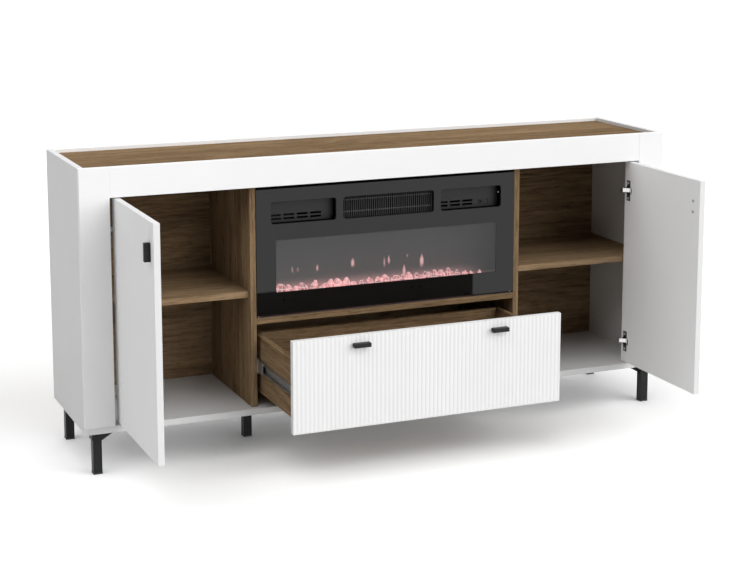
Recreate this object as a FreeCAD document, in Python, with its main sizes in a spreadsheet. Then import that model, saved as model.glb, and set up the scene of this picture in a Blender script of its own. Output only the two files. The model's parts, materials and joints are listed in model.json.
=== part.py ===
import FreeCAD, Part
import math
import os
import re

Vector = FreeCAD.Vector
Rotation = FreeCAD.Rotation

# Fireplace TV stand, millimetres, +Z up, front facing -Y.
# The origin is on the floor under the middle of the carcass.
# At rest both doors stand open and the drawer is pulled out.

# Driving sizes
SIZES = {
    # carcass
    "width": 1850,
    "depth": 400,
    "height": 870,
    "leg_height": 120,
    "board": 18,
    "back_board": 3,
    "back_margin": 2,
    "post_width": 85,
    "rail_height": 85,
    "back_rail_height": 80,
    "top_recess": 10,
    "niche_width": 828,
    "drawer_bay": 244,
    "shelf_rise": 323,
    "shelf_setback": 13,
    "shelf_play": 0.5,
    "stile_depth": 55,
    "door_stop": 1,
    "edge_ease": 0.8,
    # legs
    "leg_square": 25,
    "leg_side_inset": 23,
    "leg_front_inset": 13.5,
    "leg_back_inset": 24.5,
    "middle_leg_inset": 7,
    "middle_leg_forward": 31,
    "leg_plate": 72,
    "leg_plate_thick": 3,
    "leg_screw_edge": 10,
    "leg_screw_corner": 18,
    "leg_collar": 4,
    "leg_collar_height": 16,
    "gusset_height": 25,
    "gusset_thick": 3,
    "foot_height": 4,
    "foot_lip": 0.5,
    # doors and their hinges
    "door_gap": 3,
    "door_lap": 8,
    "pivot_in": 19,
    "pivot_deep": 9,
    "hinge_low": 67.5,
    "hinge_top": 90.5,
    "cup_in": 22.5,
    "cup_radius": 17.5,
    "cup_depth": 13.5,
    "cup_wall": 1,
    "cup_play": 0.1,
    "flange_wide": 19,
    "flange_long": 63.5,
    "flange_thick": 1.2,
    "flange_screw_gap": 48,
    "hinge_pin_radius": 1.8,
    "pin_end_play": 0.6,
    "pin_play": 0.05,
    "knuckle_radius": 3.2,
    "arm_thick": 3,
    "arm_wide": 12,
    "arm_angle": 37,
    "arm_reach": 24,
    "arm_bridge": 25,
    "plate_thick": 4,
    "plate_deep": 40,
    "plate_tall": 50,
    "plate_screw_gap": 32,
    # fluted fronts and handles
    "flute_pitch": 12.5,
    "flute_width": 8,
    "flute_depth": 0.9,
    "handle_long": 50.5,
    "handle_thick": 12.5,
    "handle_deep": 17.5,
    "handle_round": 2,
    "handle_screw_gap": 32,
    "handle_edge": 33,
    "door_handle_drop": 79.5,
    "drawer_handle_offset": 214,
    "drawer_handle_drop": 27.5,
    "screw_radius": 2,
    "screw_head_radius": 4,
    "screw_head_height": 2,
    # drawer and its slides
    "drawer_out": 280,
    "front_lap": 1,
    "front_low_gap": 2.5,
    "front_cover": 4.5,
    "drawer_lift": 36,
    "drawer_side_height": 168,
    "drawer_board": 16,
    "drawer_depth": 350,
    "drawer_bottom_thick": 4,
    "drawer_bottom_rise": 12,
    "groove_deep": 6,
    "groove_play": 0.2,
    "slide_gap": 13,
    "slide_sheet": 1.2,
    "slide_tall": 44,
    "slide_middle_tall": 35,
    "slide_runner_tall": 26.4,
    "slide_play": 0.3,
    "slide_step": 2,
    "slide_tuck": 2.5,
    "cage_long": 90,
    "cage_wide": 4,
    # shelf pins
    "pin_radius": 2.5,
    "pin_deep": 8,
    "pin_out": 9,
    "pin_fit": 0.05,
    "pin_inset": 60,
    # fireplace front
    "fire_setback": 17,
    "fire_rise": 6,
    "fire_side_gap": 0.5,
    "fire_top_gap": 10,
    "glass_thick": 4,
    "sheet": 1.2,
    "window_side": 59.5,
    "window_rise": 65,
    "window_drop": 150.5,
    "vent_drop": 38,
    "vent_tall": 65.5,
    "vent_round": 8,
    "side_vent_inner": 167.5,
    "vent_side": 45.5,
    "grille_wide": 290,
    "grille_flange": 6,
    "grille_thick": 4,
    "grille_setback": 9,
    "fin_pitch": 6.75,
    "fin_gap": 4.4,
    "pan_deep": 22,
    "slot_gap": 6.6,
    "slot_tall": 6,
    "slot_row": 10.7,
    "slot_rise": 10.2,
    "left_slot_start": 5.4,
    "right_slot_start": 1.2,
    "wire": 3,
    # fireplace inside
    "housing_side_gap": 4,
    "housing_deep": 150,
    "housing_drop": 7,
    "loft_drop": 30.3,
    "duct_deep": 30,
    "heater_deep": 16,
    "heater_fin_pitch": 8,
    "heater_fin_gap": 5,
    "heater_rim": 3.6,
    "wheel_radius": 30,
    "wheel_long": 260,
    "wheel_back": 80,
    "wheel_rise": 60,
    "blade_thick": 1.2,
    "blade_deep": 8,
    "shaft_radius": 4,
    "shaft_play": 0.05,
    "end_play": 2,
    "bracket_thick": 3,
    "bracket_wide": 40,
    "motor_radius": 24,
    "motor_long": 40,
    "motor_bore": 20,
    "shaft_in": 16,
    "spindle_radius": 3,
    "spindle_inset": 90,
    "spindle_back": 100,
    "spindle_rise": 60,
    "reflector_radius": 20,
    "reflector_long": 12,
    "screen_back": 62,
    "screen_thick": 3,
    "tray_rise": 62,
    "tray_thick": 2,
    "tray_deep": 54,
    "bed_start": 5,
    "bed_end": 30,
    "crystal_size": 24,
    "crystal_front": 12,
    "crystal_row": 20,
    "led_wide": 16,
    "led_tall": 8,
    "led_pitch": 20,
    "circuit_inset": 68.8,
    "circuit_wide": 130,
    "circuit_deep": 80,
    "circuit_thick": 1.6,
    "standoff": 6,
    # power switch, cord inlet and cable outlet
    "switch_long": 31,
    "switch_tall": 14,
    "switch_wall": 1.4,
    "switch_deep": 16,
    "switch_lip": 1.5,
    "switch_inset": 45,
    "rocker_play": 1.1,
    "rocker_tilt": 7,
    "rocker_pin": 1.5,
    "rocker_deep": 10,
    "inlet_inset": 110,
    "inlet_rise": 40,
    "inlet_wide": 34,
    "inlet_tall": 26,
    "inlet_deep": 20,
    "inlet_slot_wide": 18,
    "inlet_slot_tall": 9,
    "inlet_slot_deep": 12,
    "inlet_pin_radius": 1.2,
    "inlet_pin_long": 9,
    "outlet_radius": 32,
}

# Places worked out from the driving sizes
LEFT = "(-width / 2)"
FRONT = "(-depth / 2)"
REAR = "(depth / 2 - back_board)"
INNER_FRONT = "(-depth / 2 + board + door_stop)"
FLOOR = "(leg_height + board)"
CEILING = "(height - top_recess - board)"
NICHE = "(niche_width / 2)"
SHELF_TOP = "(leg_height + 2 * board + drawer_bay)"
SIDE_SHELF = "(leg_height + board + shelf_rise)"
PIVOT_X = "(-width / 2 + post_width + door_gap + pivot_in)"
PIVOT_Y = "(-depth / 2 + pivot_deep)"
DOOR_LOW = "(leg_height + board + door_gap)"
DOOR_TALL = "(height - rail_height - leg_height - board - 2 * door_gap)"
HINGE_RISES = {"low_hinge": "hinge_low", "high_hinge": f"({DOOR_TALL} - hinge_top)"}
PULL_RISE = f"({DOOR_TALL} - door_handle_drop)"
DOOR_WIDE = "(width / 2 - niche_width / 2 - board + door_lap - post_width - door_gap)"
DRAWER_WIDE = "(niche_width + 2 * front_lap)"
DRAWER_TALL = "(drawer_bay + board + front_cover - front_low_gap)"
DRAWER_X = "(niche_width / 2 - slide_gap)"
DRAWER_LOW = "(leg_height + board + drawer_lift)"
SLIDE_Z = "(leg_height + board + drawer_lift + drawer_side_height / 2)"
FIRE_LOW = "(leg_height + 2 * board + drawer_bay + fire_rise)"
GLASS_Y = "(-depth / 2 + fire_setback)"
PLATE_Y = "(-depth / 2 + fire_setback + glass_thick)"
HOUSING_Y = "(-depth / 2 + fire_setback + glass_thick + sheet)"
FIRE_WIDE = "(niche_width - 2 * fire_side_gap)"
FIRE_TALL = f"(height - rail_height - fire_top_gap - {FIRE_LOW})"
WINDOW_WIDE = f"({FIRE_WIDE} - 2 * window_side)"
WINDOW_TALL = f"({FIRE_TALL} - window_rise - window_drop)"
VENT_LOW = f"({FIRE_LOW} + {FIRE_TALL} - vent_drop - vent_tall)"
SIDE_VENT = f"({FIRE_WIDE} / 2 - vent_side - side_vent_inner)"
HOUSING_WIDE = "(niche_width - 2 * housing_side_gap)"
HOUSING_TALL = f"({FIRE_LOW} + {FIRE_TALL} - housing_drop - {SHELF_TOP})"
LOFT = f"({VENT_LOW} - loft_drop)"
CAVE = "(leg_height + 2 * board + drawer_bay + sheet)"
WHEEL_Y = f"({HOUSING_Y} + wheel_back)"
WHEEL_Z = f"({LOFT} + wheel_rise)"
SPINDLE_Y = f"({HOUSING_Y} + spindle_back)"
SPINDLE_Z = f"({CAVE} + spindle_rise)"
SPINDLE_LONG = f"({HOUSING_WIDE} - 2 * spindle_inset)"
SWITCH_X = f"(side_vent_inner + {SIDE_VENT} - switch_inset)"
SWITCH_Z = f"({VENT_LOW} + slot_rise + slot_row / 2)"
PAN_BACK = f"({HOUSING_Y} + pan_deep)"
INLET_X = f"({HOUSING_WIDE} / 2 - inlet_inset)"

# Counts, angles in degrees and shares
BLADES = 18
NAILS = 5
REFLECTORS = 15
REFLECTOR_TURN = 40
CRYSTALS = 34
CRYSTAL_ROWS = 2
CRYSTAL_SHARE = 0.47
CRYSTAL_SIDES = 6
CRYSTAL_TURN = 23
CRYSTAL_WAVE = 2.4
CRYSTAL_MEAN = 0.84
CRYSTAL_VARY = 0.16
LEFT_SLOTS = 4
RIGHT_SLOTS = 3
SLOT_LINES = 2
SLOT_SHARE = 0.206
SLOT_ROUND = 0.2
ROUND_SHARE = 0.45
WIRE_SHARES = (0.265, 0.80)
STANDOFF_SHARES = ((0.08, 0.12), (0.92, 0.12), (0.08, 0.88), (0.92, 0.88))
QUARTER = 90
HALF = 180
FULL = 360

# Parts on the circuit board: x, y, width and depth as shares of the board, then height in board thicknesses
CIRCUIT_PARTS = (
    (0.2, 0.2, 0.28, 0.4, 12),
    (0.56, 0.2, 0.16, 0.24, 8),
    (0.56, 0.56, 0.2, 0.2, 10),
    (0.2, 0.7, 0.1, 0.16, 6),
)

doc = FreeCAD.newDocument("fireplace_tv_stand")
table = doc.addObject("Spreadsheet::Sheet", "sizes")
for row, (alias, value) in enumerate(SIZES.items(), start=1):
    table.set(f"A{row}", alias)
    table.set(f"B{row}", str(value))
    table.setAlias(f"B{row}", alias)
doc.recompute()

nodes = []


# Helpers that tie objects to the sheet
def formula(text):
    def tied(word):
        return "sizes." + word[0] if word[0] in SIZES else word[0]

    return re.sub(r"[a-z_]\w*", tied, str(text))


def bind(item, **formulas):
    for name, text in formulas.items():
        item.setExpression(name, formula(text))


def put(item, x, y, z):
    for axis, text in zip("xyz", (x, y, z)):
        item.setExpression(f".Placement.Base.{axis}", formula(text))


def turn(item, axis, angle):
    item.Placement = FreeCAD.Placement(item.Placement.Base, Rotation(Vector(*axis), angle))


def node(label, item):
    item.Label = label
    nodes.append(item)
    return item


# Helpers that make shapes
def block(name, corner, size):
    item = doc.addObject("Part::Box", name)
    bind(item, Length=size[0], Width=size[1], Height=size[2])
    put(item, *corner)
    return item


def rod(name, start, radius, length, along="z"):
    item = doc.addObject("Part::Cylinder", name)
    bind(item, Radius=radius, Height=length)
    if along == "x":
        turn(item, (0, 1, 0), QUARTER)
    if along == "y":
        turn(item, (1, 0, 0), -QUARTER)
    put(item, *start)
    return item


def group(name, items):
    item = doc.addObject("Part::Compound", name)
    item.Links = list(items)
    return item


def fuse(name, items):
    item = doc.addObject("Part::MultiFuse", name)
    item.Shapes = list(items)
    return item


def cut(name, base, tools):
    item = doc.addObject("Part::Cut", name)
    item.Base = base
    item.Tool = tools[0] if len(tools) == 1 else group(name + "_tools", tools)
    return item


def mirrored(name, source):
    item = doc.addObject("Part::Mirroring", name)
    item.Source = source
    item.Normal = Vector(1, 0, 0)
    return item


def edges_along(feature, direction):
    names = []
    for index, edge in enumerate(feature.Shape.Edges, start=1):
        run = edge.Vertexes[-1].Point - edge.Vertexes[0].Point
        if run.cross(Vector(*direction)).Length < 1e-6 * run.Length:
            names.append(f"Edge{index}")
    return names


def blank(name, size):
    body = doc.addObject("PartDesign::Body", name)
    feature = body.newObject("PartDesign::AdditiveBox", name + "_blank")
    bind(feature, Length=size[0], Width=size[1], Height=size[2])
    doc.recompute()
    return body, feature


def eased(body, feature, ease="edge_ease"):
    names = [f"Edge{index + 1}" for index in range(len(feature.Shape.Edges))]
    chamfer = body.newObject("PartDesign::Chamfer", body.Name + "_edges")
    chamfer.Base = (feature, names)
    bind(chamfer, Size=ease)
    doc.recompute()
    return chamfer


def board(name, corner, size):
    body, feature = blank(name, size)
    eased(body, feature)
    put(body, *corner)
    return body


def rounded(name, corner, size, radius, direction):
    body, feature = blank(name, size)
    fillet = body.newObject("PartDesign::Fillet", name + "_round")
    fillet.Base = (feature, edges_along(feature, direction))
    bind(fillet, Radius=radius)
    put(body, *corner)
    return body


def pattern(body, feature, axis_role, count, pitch):
    row = body.newObject("PartDesign::LinearPattern", feature.Name + "_row")
    row.Originals = [feature]
    axis = next(item for item in body.Origin.OriginFeatures if item.Role == axis_role)
    row.Direction = (axis, [""])
    bind(row, Length=f"({count} - 1) * {pitch}", Occurrences=count)
    body.Tip = row
    doc.recompute()
    return row


def screw(name, head, along, length, sense=1):
    shank = rod(name + "_shank", (0, 0, 0), "screw_radius", length)
    cap = rod(name + "_head", (0, 0, "-screw_head_height"), "screw_head_radius", "screw_head_height")
    item = fuse(name, [shank, cap])
    angles = {"x": ((0, 1, 0), QUARTER), "y": ((1, 0, 0), -QUARTER), "z": ((1, 0, 0), 0)}
    axis, angle = angles[along]
    if sense < 0:
        angle -= HALF
    turn(item, axis, angle)
    put(item, *head)
    return item


# Carcass boards
def carcass():
    inner = "(width - 2 * board)"
    side_deep = f"({REAR} - {FRONT} - board)"
    bottom_size = ("width", f"{REAR} - {FRONT}", "board")
    node("bottom_panel", board("bottom", (LEFT, FRONT, "leg_height"), bottom_size))
    side_size = ("board", side_deep, f"height - {FLOOR}")
    left_side = board("side_board", (LEFT, f"{FRONT} + board", FLOOR), side_size)
    left_side = cut("left_side", left_side, pin_rods("left_side", f"{LEFT} + board", -1))
    node("left_side_panel", left_side)
    node("right_side_panel", mirrored("right_side", left_side))
    post = board("left_post", (LEFT, FRONT, FLOOR), ("post_width", "board", f"height - {FLOOR}"))
    node("front_posts", group("posts", [post, mirrored("right_post", post)]))
    rail_corner = (f"{LEFT} + post_width", FRONT, "height - rail_height")
    rail_size = ("width - 2 * post_width", "board", "rail_height")
    node("top_front_rail", board("front_rail", rail_corner, rail_size))
    back_corner = (f"{LEFT} + board", f"{REAR} - board", "height - back_rail_height")
    node("top_back_rail", board("back_rail", back_corner, (inner, "board", "back_rail_height")))
    top_corner = (f"{LEFT} + board", f"{FRONT} + board", CEILING)
    node("top_panel", board("top", top_corner, (inner, f"{side_deep} - board", "board")))
    divider_size = ("board", f"{REAR} - {INNER_FRONT}", f"{CEILING} - {FLOOR}")
    divider_board = board("divider_board", (f"-{NICHE} - board", INNER_FRONT, FLOOR), divider_size)
    back_notch = block(
        "divider_notch",
        (f"-{NICHE} - 2 * board", f"{REAR} - board", "height - back_rail_height"),
        ("3 * board", "2 * board", "back_rail_height"),
    )
    drills = pin_rods("left_divider", f"-{NICHE} - board", 1)
    left_divider = cut("left_divider", divider_board, drills + [back_notch])
    node("left_divider", left_divider)
    node("right_divider", mirrored("right_divider", left_divider))
    shelf_size = ("niche_width", f"{REAR} - {INNER_FRONT}", "board")
    shelf_corner = (f"-{NICHE}", INNER_FRONT, f"{SHELF_TOP} - board")
    node("middle_shelf", board("niche_shelf", shelf_corner, shelf_size))
    node("side_shelves", side_shelves())
    node("back_panel", back_panel())
    stile_corner = (f"{LEFT} + post_width - board", f"{FRONT} + board", FLOOR)
    stile = board("left_stile", stile_corner, ("board", "stile_depth", f"{CEILING} - {FLOOR}"))
    node("hinge_stiles", group("stiles", [stile, mirrored("right_stile", stile)]))


def pin_places():
    low = f"({SIDE_SHELF} - pin_radius)"
    front = f"({FRONT} + board + stile_depth + pin_inset)"
    back = f"({REAR} - pin_inset)"
    return [(front, low), (back, low)]


def pin_rods(name, face, sense):
    rods = []
    for index, (y, z) in enumerate(pin_places()):
        start = face if sense > 0 else f"{face} - pin_deep"
        drill = rod(f"{name}_drill_{index}", (start, y, z), "pin_radius + pin_fit", "pin_deep", "x")
        rods.append(drill)
    return rods


def shelf_pins():
    pins = []
    long = "pin_deep + pin_out"
    for index, (y, z) in enumerate(pin_places()):
        starts = {"side": f"{LEFT} + board - pin_deep", "divider": f"-{NICHE} - board - pin_out"}
        for place, start in starts.items():
            pins.append(rod(f"{place}_pin_{index}", (start, y, z), "pin_radius", long, "x"))
    pins += [mirrored(pin.Name + "_right", pin) for pin in list(pins)]
    node("shelf_pins", group("pins", pins))


def side_shelves():
    wide = "(width / 2 - niche_width / 2 - 2 * board)"
    front = f"({INNER_FRONT} + shelf_setback)"
    corner = (f"{LEFT} + board + shelf_play", front, SIDE_SHELF)
    size = (f"{wide} - 2 * shelf_play", f"{REAR} - shelf_play - {front}", "board")
    shelf = board("shelf_board", corner, size)
    notch = block(
        "shelf_notch",
        (LEFT, FRONT, f"{SIDE_SHELF} - board"),
        ("post_width + shelf_play", "board + stile_depth + shelf_play", "3 * board"),
    )
    left = cut("left_shelf", shelf, [notch])
    return group("shelves", [left, mirrored("right_shelf", left)])


def back_panel():
    low = "(leg_height + back_margin)"
    corner = (f"{LEFT} + back_margin", REAR, low)
    size = ("width - 2 * back_margin", "back_board", f"{CEILING} + board - {low}")
    sheet_board = block("back_sheet", corner, size)
    outlet_start = (INLET_X, f"{REAR} - board", f"{CAVE} + inlet_rise")
    outlet = rod("cable_cut", outlet_start, "outlet_radius", "2 * board", "y")
    return cut("back", sheet_board, [outlet])


# Legs with their brackets and foot caps
LEG_UNDER = "(leg_height - leg_plate_thick)"


def leg(name, x, y, sense):
    wide = "leg_square + 2 * leg_collar"
    plate_y = f"{y} - leg_collar" if sense > 0 else f"{y} + leg_square + leg_collar - leg_plate"
    post_size = ("leg_square", "leg_square", f"{LEG_UNDER} - foot_height")
    post = block(name + "_post", (x, y, "foot_height"), post_size)
    plate_size = ("leg_plate", "leg_plate", "leg_plate_thick")
    plate = block(name + "_plate", (f"{x} - leg_collar", plate_y, LEG_UNDER), plate_size)
    collar_corner = (f"{x} - leg_collar", f"{y} - leg_collar", f"{LEG_UNDER} - leg_collar_height")
    collar = block(name + "_collar", collar_corner, (wide, wide, "leg_collar_height"))
    side_base = (f"{x} + leg_square", f"{y} + leg_square / 2 + gusset_thick / 2", LEG_UNDER)
    deep_x = f"{x} + leg_square / 2 - {sense} * gusset_thick / 2"
    deep_y = f"{y} + leg_square" if sense > 0 else y
    side_web = gusset(name + "_side_web", side_base, -QUARTER)
    deep_web = gusset(name + "_deep_web", (deep_x, deep_y, LEG_UNDER), 0 if sense > 0 else HALF)
    return fuse(name, [post, plate, collar, side_web, deep_web])


def gusset(name, base, angle):
    web = doc.addObject("Part::Wedge", name)
    bind(web, Xmin="0", Ymin="0", Zmin="-gusset_height", X2min="0", Z2min="0")
    bind(web, Xmax="gusset_thick", Ymax="leg_plate - leg_square - leg_collar", Zmax="0")
    bind(web, X2max="gusset_thick", Z2max="0")
    turn(web, (0, 0, 1), angle)
    put(web, *base)
    return web


def leg_screws(name, x, y, sense):
    near = "(screw_head_radius - leg_collar / 2)"
    far = "(leg_plate - leg_collar - leg_screw_edge)"
    inner = "(leg_plate - leg_collar - leg_screw_corner)"
    screws = []
    for index, (u, v) in enumerate(((far, near), (near, far), (inner, inner))):
        deep = f"{y} + {v}" if sense > 0 else f"{y} + leg_square - {v}"
        head = (f"{x} + {u}", deep, LEG_UNDER)
        screws.append(screw(f"{name}_screw_{index}", head, "z", "leg_plate_thick + board / 2"))
    return screws


def legs():
    rear_y = "(depth / 2 - leg_back_inset - leg_square)"
    middle_y = "(-middle_leg_forward)"
    places = {
        "front": (f"({LEFT} + leg_side_inset)", f"({FRONT} + leg_front_inset)", 1),
        "middle": (f"(-{NICHE} + middle_leg_inset)", middle_y, 1),
        "rear": (f"({LEFT} + leg_side_inset)", rear_y, -1),
    }
    caps = []
    screws = []
    cap_wide = "leg_square + 2 * foot_lip"
    for name, (x, y, sense) in places.items():
        left = leg(name + "_left_leg", x, y, sense)
        node(name + "_legs", group(name + "_pair", [left, mirrored(name + "_right_leg", left)]))
        cap_corner = (f"{x} - foot_lip", f"{y} - foot_lip", "0")
        caps.append(block(name + "_cap", cap_corner, (cap_wide, cap_wide, "foot_height")))
        screws += leg_screws(name, x, y, sense)
    caps += [mirrored(cap.Name + "_right", cap) for cap in list(caps)]
    node("foot_caps", group("caps", caps))
    return screws


# Doors: made in their own frame, hinge edge at x 0, outer face at y 0, then swung open
def on_door(item):
    turn(item, (0, 0, 1), -QUARTER)
    put(item, f"{PIVOT_X} - pivot_deep", f"{PIVOT_Y} + pivot_in", DOOR_LOW)
    return item


def fluted(name, wide, tall):
    body, feature = blank(name, (wide, "board", tall))
    eased(body, feature)
    radius = "((flute_width ^ 2 / 4 + flute_depth ^ 2) / (2 * flute_depth))"
    count = f"floor({wide} / flute_pitch)"
    flute = body.newObject("PartDesign::SubtractiveCylinder", name + "_flute")
    bind(flute, Radius=radius, Height=f"{tall} + 2 * board")
    put(flute, f"({wide} - ({count} - 1) * flute_pitch) / 2", f"flute_depth - {radius}", "-board")
    doc.recompute()
    pattern(body, flute, "X_Axis", count, "flute_pitch")
    return body


def handle(name, corner, size):
    body, feature = blank(name, size)
    fillet = body.newObject("PartDesign::Fillet", name + "_round")
    fillet.Base = (feature, [f"Edge{index + 1}" for index in range(len(feature.Shape.Edges))])
    bind(fillet, Radius="handle_round")
    put(body, *corner)
    return body


def door():
    panel = fluted("door_board", DOOR_WIDE, DOOR_TALL)
    for name, rise in HINGE_RISES.items():
        socket = panel.newObject("PartDesign::SubtractiveCylinder", name + "_socket")
        bind(socket, Radius="cup_radius", Height="cup_depth + board")
        turn(socket, (1, 0, 0), -QUARTER)
        put(socket, "cup_in", "board - cup_depth", rise)
    on_door(panel)
    pull_x = f"({DOOR_WIDE} - handle_edge)"
    pull_size = ("handle_thick", "handle_deep", "handle_long")
    pull_corner = (f"{pull_x} - handle_thick / 2", "-handle_deep", f"{PULL_RISE} - handle_long / 2")
    pull = on_door(group("door_pull", [handle("door_bar", pull_corner, pull_size)]))
    screws = []
    for index, sign in enumerate((-1, 1)):
        head = (pull_x, "board", f"{PULL_RISE} + {sign} * handle_screw_gap / 2")
        screws.append(screw(f"door_pull_screw_{index}", head, "y", "board + handle_deep / 2", -1))
    cups = []
    for name, rise in HINGE_RISES.items():
        cups.append(hinge_cup(name, rise))
        for index, sign in enumerate((-1, 1)):
            head = ("cup_in", "board + flange_thick", f"{rise} + {sign} * flange_screw_gap / 2")
            screws.append(screw(f"{name}_cup_screw_{index}", head, "y", "board / 2 + flange_thick", -1))
    pieces = {
        "door_panel": panel,
        "door_handle": pull,
        "door_screws": on_door(group("door_screw_set", screws)),
        "hinge_cups": on_door(group("cup_set", cups)),
    }
    for label, item in pieces.items():
        node("left_" + label, item)
        node("right_" + label, mirrored("right_" + label, item))


def hinge_cup(name, rise):
    base = "(board - cup_depth)"
    outer = "(cup_radius - cup_play)"
    shell = rod(name + "_cup", ("cup_in", base, rise), outer, "cup_depth", "y")
    flange_corner = ("cup_in - flange_wide / 2", "board", f"{rise} - flange_long / 2")
    flange = block(name + "_flange", flange_corner, ("flange_wide", "flange_thick", "flange_long"))
    bowl_start = ("cup_in", f"{base} + cup_wall", rise)
    bowl = rod(name + "_bowl", bowl_start, f"{outer} - cup_wall", "cup_depth + board", "y")
    eye_start = ("pivot_in", "pivot_deep", f"{rise} - cup_radius")
    eye = rod(name + "_eye", eye_start, "hinge_pin_radius + pin_play", "2 * cup_radius")
    return cut(name + "_hinge_cup", fuse(name + "_cup_body", [shell, flange]), [bowl, eye])


# Hinge arms, plates and pins on the cabinet
def hinges():
    plates = []
    arms = []
    pins = []
    screws = []
    face = f"({LEFT} + post_width)"
    plate_y = f"({PIVOT_Y} + arm_bridge - arm_thick)"
    foot_x = f"({face} + plate_thick)"
    half_pin = "(sqrt((cup_radius - cup_play) ^ 2 - (cup_in - pivot_in) ^ 2) - pin_end_play)"
    for name, rise in HINGE_RISES.items():
        z = f"({DOOR_LOW} + {rise})"
        plate_corner = (face, plate_y, f"{z} - plate_tall / 2")
        plates.append(block(name + "_plate", plate_corner, ("plate_thick", "plate_deep", "plate_tall")))
        arms.append(hinge_arm(name, z, foot_x))
        pin_start = (PIVOT_X, PIVOT_Y, f"{z} - {half_pin}")
        pins.append(rod(name + "_pin", pin_start, "hinge_pin_radius", f"2 * {half_pin}"))
        for index, sign in enumerate((-1, 1)):
            head = (foot_x, f"{plate_y} + plate_deep / 2", f"{z} + {sign} * plate_screw_gap / 2")
            screws.append(screw(f"{name}_plate_screw_{index}", head, "x", "plate_thick + board / 2", -1))
        arm_head = (f"{foot_x} + arm_thick", f"{plate_y} + plate_deep * 3 / 4", z)
        screws.append(screw(f"{name}_arm_screw", arm_head, "x", "arm_thick + plate_thick / 2", -1))
    for label, items in (("hinge_plates", plates), ("hinge_arms", arms), ("hinge_pins", pins)):
        items += [mirrored(item.Name + "_right", item) for item in list(items)]
        node(label, group(label, items))
    return screws


def hinge_arm(name, z, foot_x):
    low = f"({z} - arm_wide / 2)"
    riser_x = f"({PIVOT_X} + arm_reach * cos(arm_angle) - arm_thick)"
    riser_y = f"({PIVOT_Y} + arm_reach * sin(arm_angle) - arm_thick / 2)"
    bridge_y = f"({PIVOT_Y} + arm_bridge)"
    knuckle = rod(name + "_knuckle", (PIVOT_X, PIVOT_Y, low), "knuckle_radius", "arm_wide")
    tongue = block(name + "_tongue", ("0", "0", "0"), ("arm_reach", "arm_thick", "arm_wide"))
    turn(tongue, (0, 0, 1), SIZES["arm_angle"])
    tongue.setExpression(".Placement.Rotation.Angle", formula("arm_angle"))
    tongue_x = f"{PIVOT_X} + arm_thick / 2 * sin(arm_angle)"
    put(tongue, tongue_x, f"{PIVOT_Y} - arm_thick / 2 * cos(arm_angle)", low)
    riser_size = ("arm_thick", f"{bridge_y} + arm_thick - {riser_y}", "arm_wide")
    riser = block(name + "_riser", (riser_x, riser_y, low), riser_size)
    bridge_size = (f"{riser_x} + arm_thick - {foot_x}", "arm_thick", "arm_wide")
    bridge = block(name + "_bridge", (foot_x, bridge_y, low), bridge_size)
    foot_size = ("arm_thick", "plate_deep - 2 * arm_thick", "arm_wide")
    foot = block(name + "_foot", (foot_x, bridge_y, low), foot_size)
    bore = rod(name + "_bore", (PIVOT_X, PIVOT_Y, f"{low} - arm_wide"), "hinge_pin_radius", "3 * arm_wide")
    return cut(name + "_arm", fuse(name + "_bent", [knuckle, tongue, riser, bridge, foot]), [bore])


# Drawer, pulled out at rest
DRAWER_Y = "(-depth / 2 - drawer_out)"
BOX_Y = "(-depth / 2 - drawer_out + board)"


def drawer():
    front = fluted("drawer_board", DRAWER_WIDE, DRAWER_TALL)
    put(front, f"-{DRAWER_WIDE} / 2", DRAWER_Y, f"{FLOOR} + front_low_gap")
    node("drawer_front", front)
    side_size = ("drawer_board", "drawer_depth", "drawer_side_height")
    side = board("drawer_side_board", (f"-{DRAWER_X}", BOX_Y, DRAWER_LOW), side_size)
    bottom_z = f"({DRAWER_LOW} + drawer_bottom_rise)"
    groove_x = f"-{DRAWER_X} + drawer_board - groove_deep"
    groove_corner = (groove_x, f"{BOX_Y} - board", f"{bottom_z} - groove_play")
    groove_size = ("2 * groove_deep", "drawer_depth + 2 * board", "drawer_bottom_thick + 2 * groove_play")
    left = cut("drawer_left_side", side, [block("drawer_groove", groove_corner, groove_size)])
    node("drawer_sides", group("drawer_side_pair", [left, mirrored("drawer_right_side", left)]))
    inner = f"({DRAWER_X} - drawer_board)"
    back_z = f"({bottom_z} + drawer_bottom_thick)"
    back_corner = (f"-{inner}", f"{BOX_Y} + drawer_depth - drawer_board", back_z)
    back_size = (f"2 * {inner}", "drawer_board", f"{DRAWER_LOW} + drawer_side_height - {back_z}")
    node("drawer_back", board("drawer_back_board", back_corner, back_size))
    half = f"({inner} + groove_deep - groove_play)"
    bottom_size = (f"2 * {half}", "drawer_depth", "drawer_bottom_thick")
    node("drawer_bottom", block("drawer_base", (f"-{half}", BOX_Y, bottom_z), bottom_size))
    drawer_pulls()


def drawer_pulls():
    z = f"({FLOOR} + front_low_gap + {DRAWER_TALL} - drawer_handle_drop)"
    x = "-drawer_handle_offset - handle_long / 2"
    corner = (x, f"{DRAWER_Y} - handle_deep", f"{z} - handle_thick / 2")
    left = handle("drawer_bar", corner, ("handle_long", "handle_deep", "handle_thick"))
    node("drawer_handles", group("drawer_bars", [left, mirrored("drawer_right_bar", left)]))
    screws = []
    for index, sign in enumerate((-1, 1)):
        head = (f"-drawer_handle_offset + {sign} * handle_screw_gap / 2", BOX_Y, z)
        screws.append(screw(f"drawer_screw_{index}", head, "y", "board + handle_deep / 2", -1))
    screws += [mirrored(item.Name + "_right", item) for item in list(screws)]
    node("drawer_screws", group("drawer_screw_set", screws))


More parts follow.
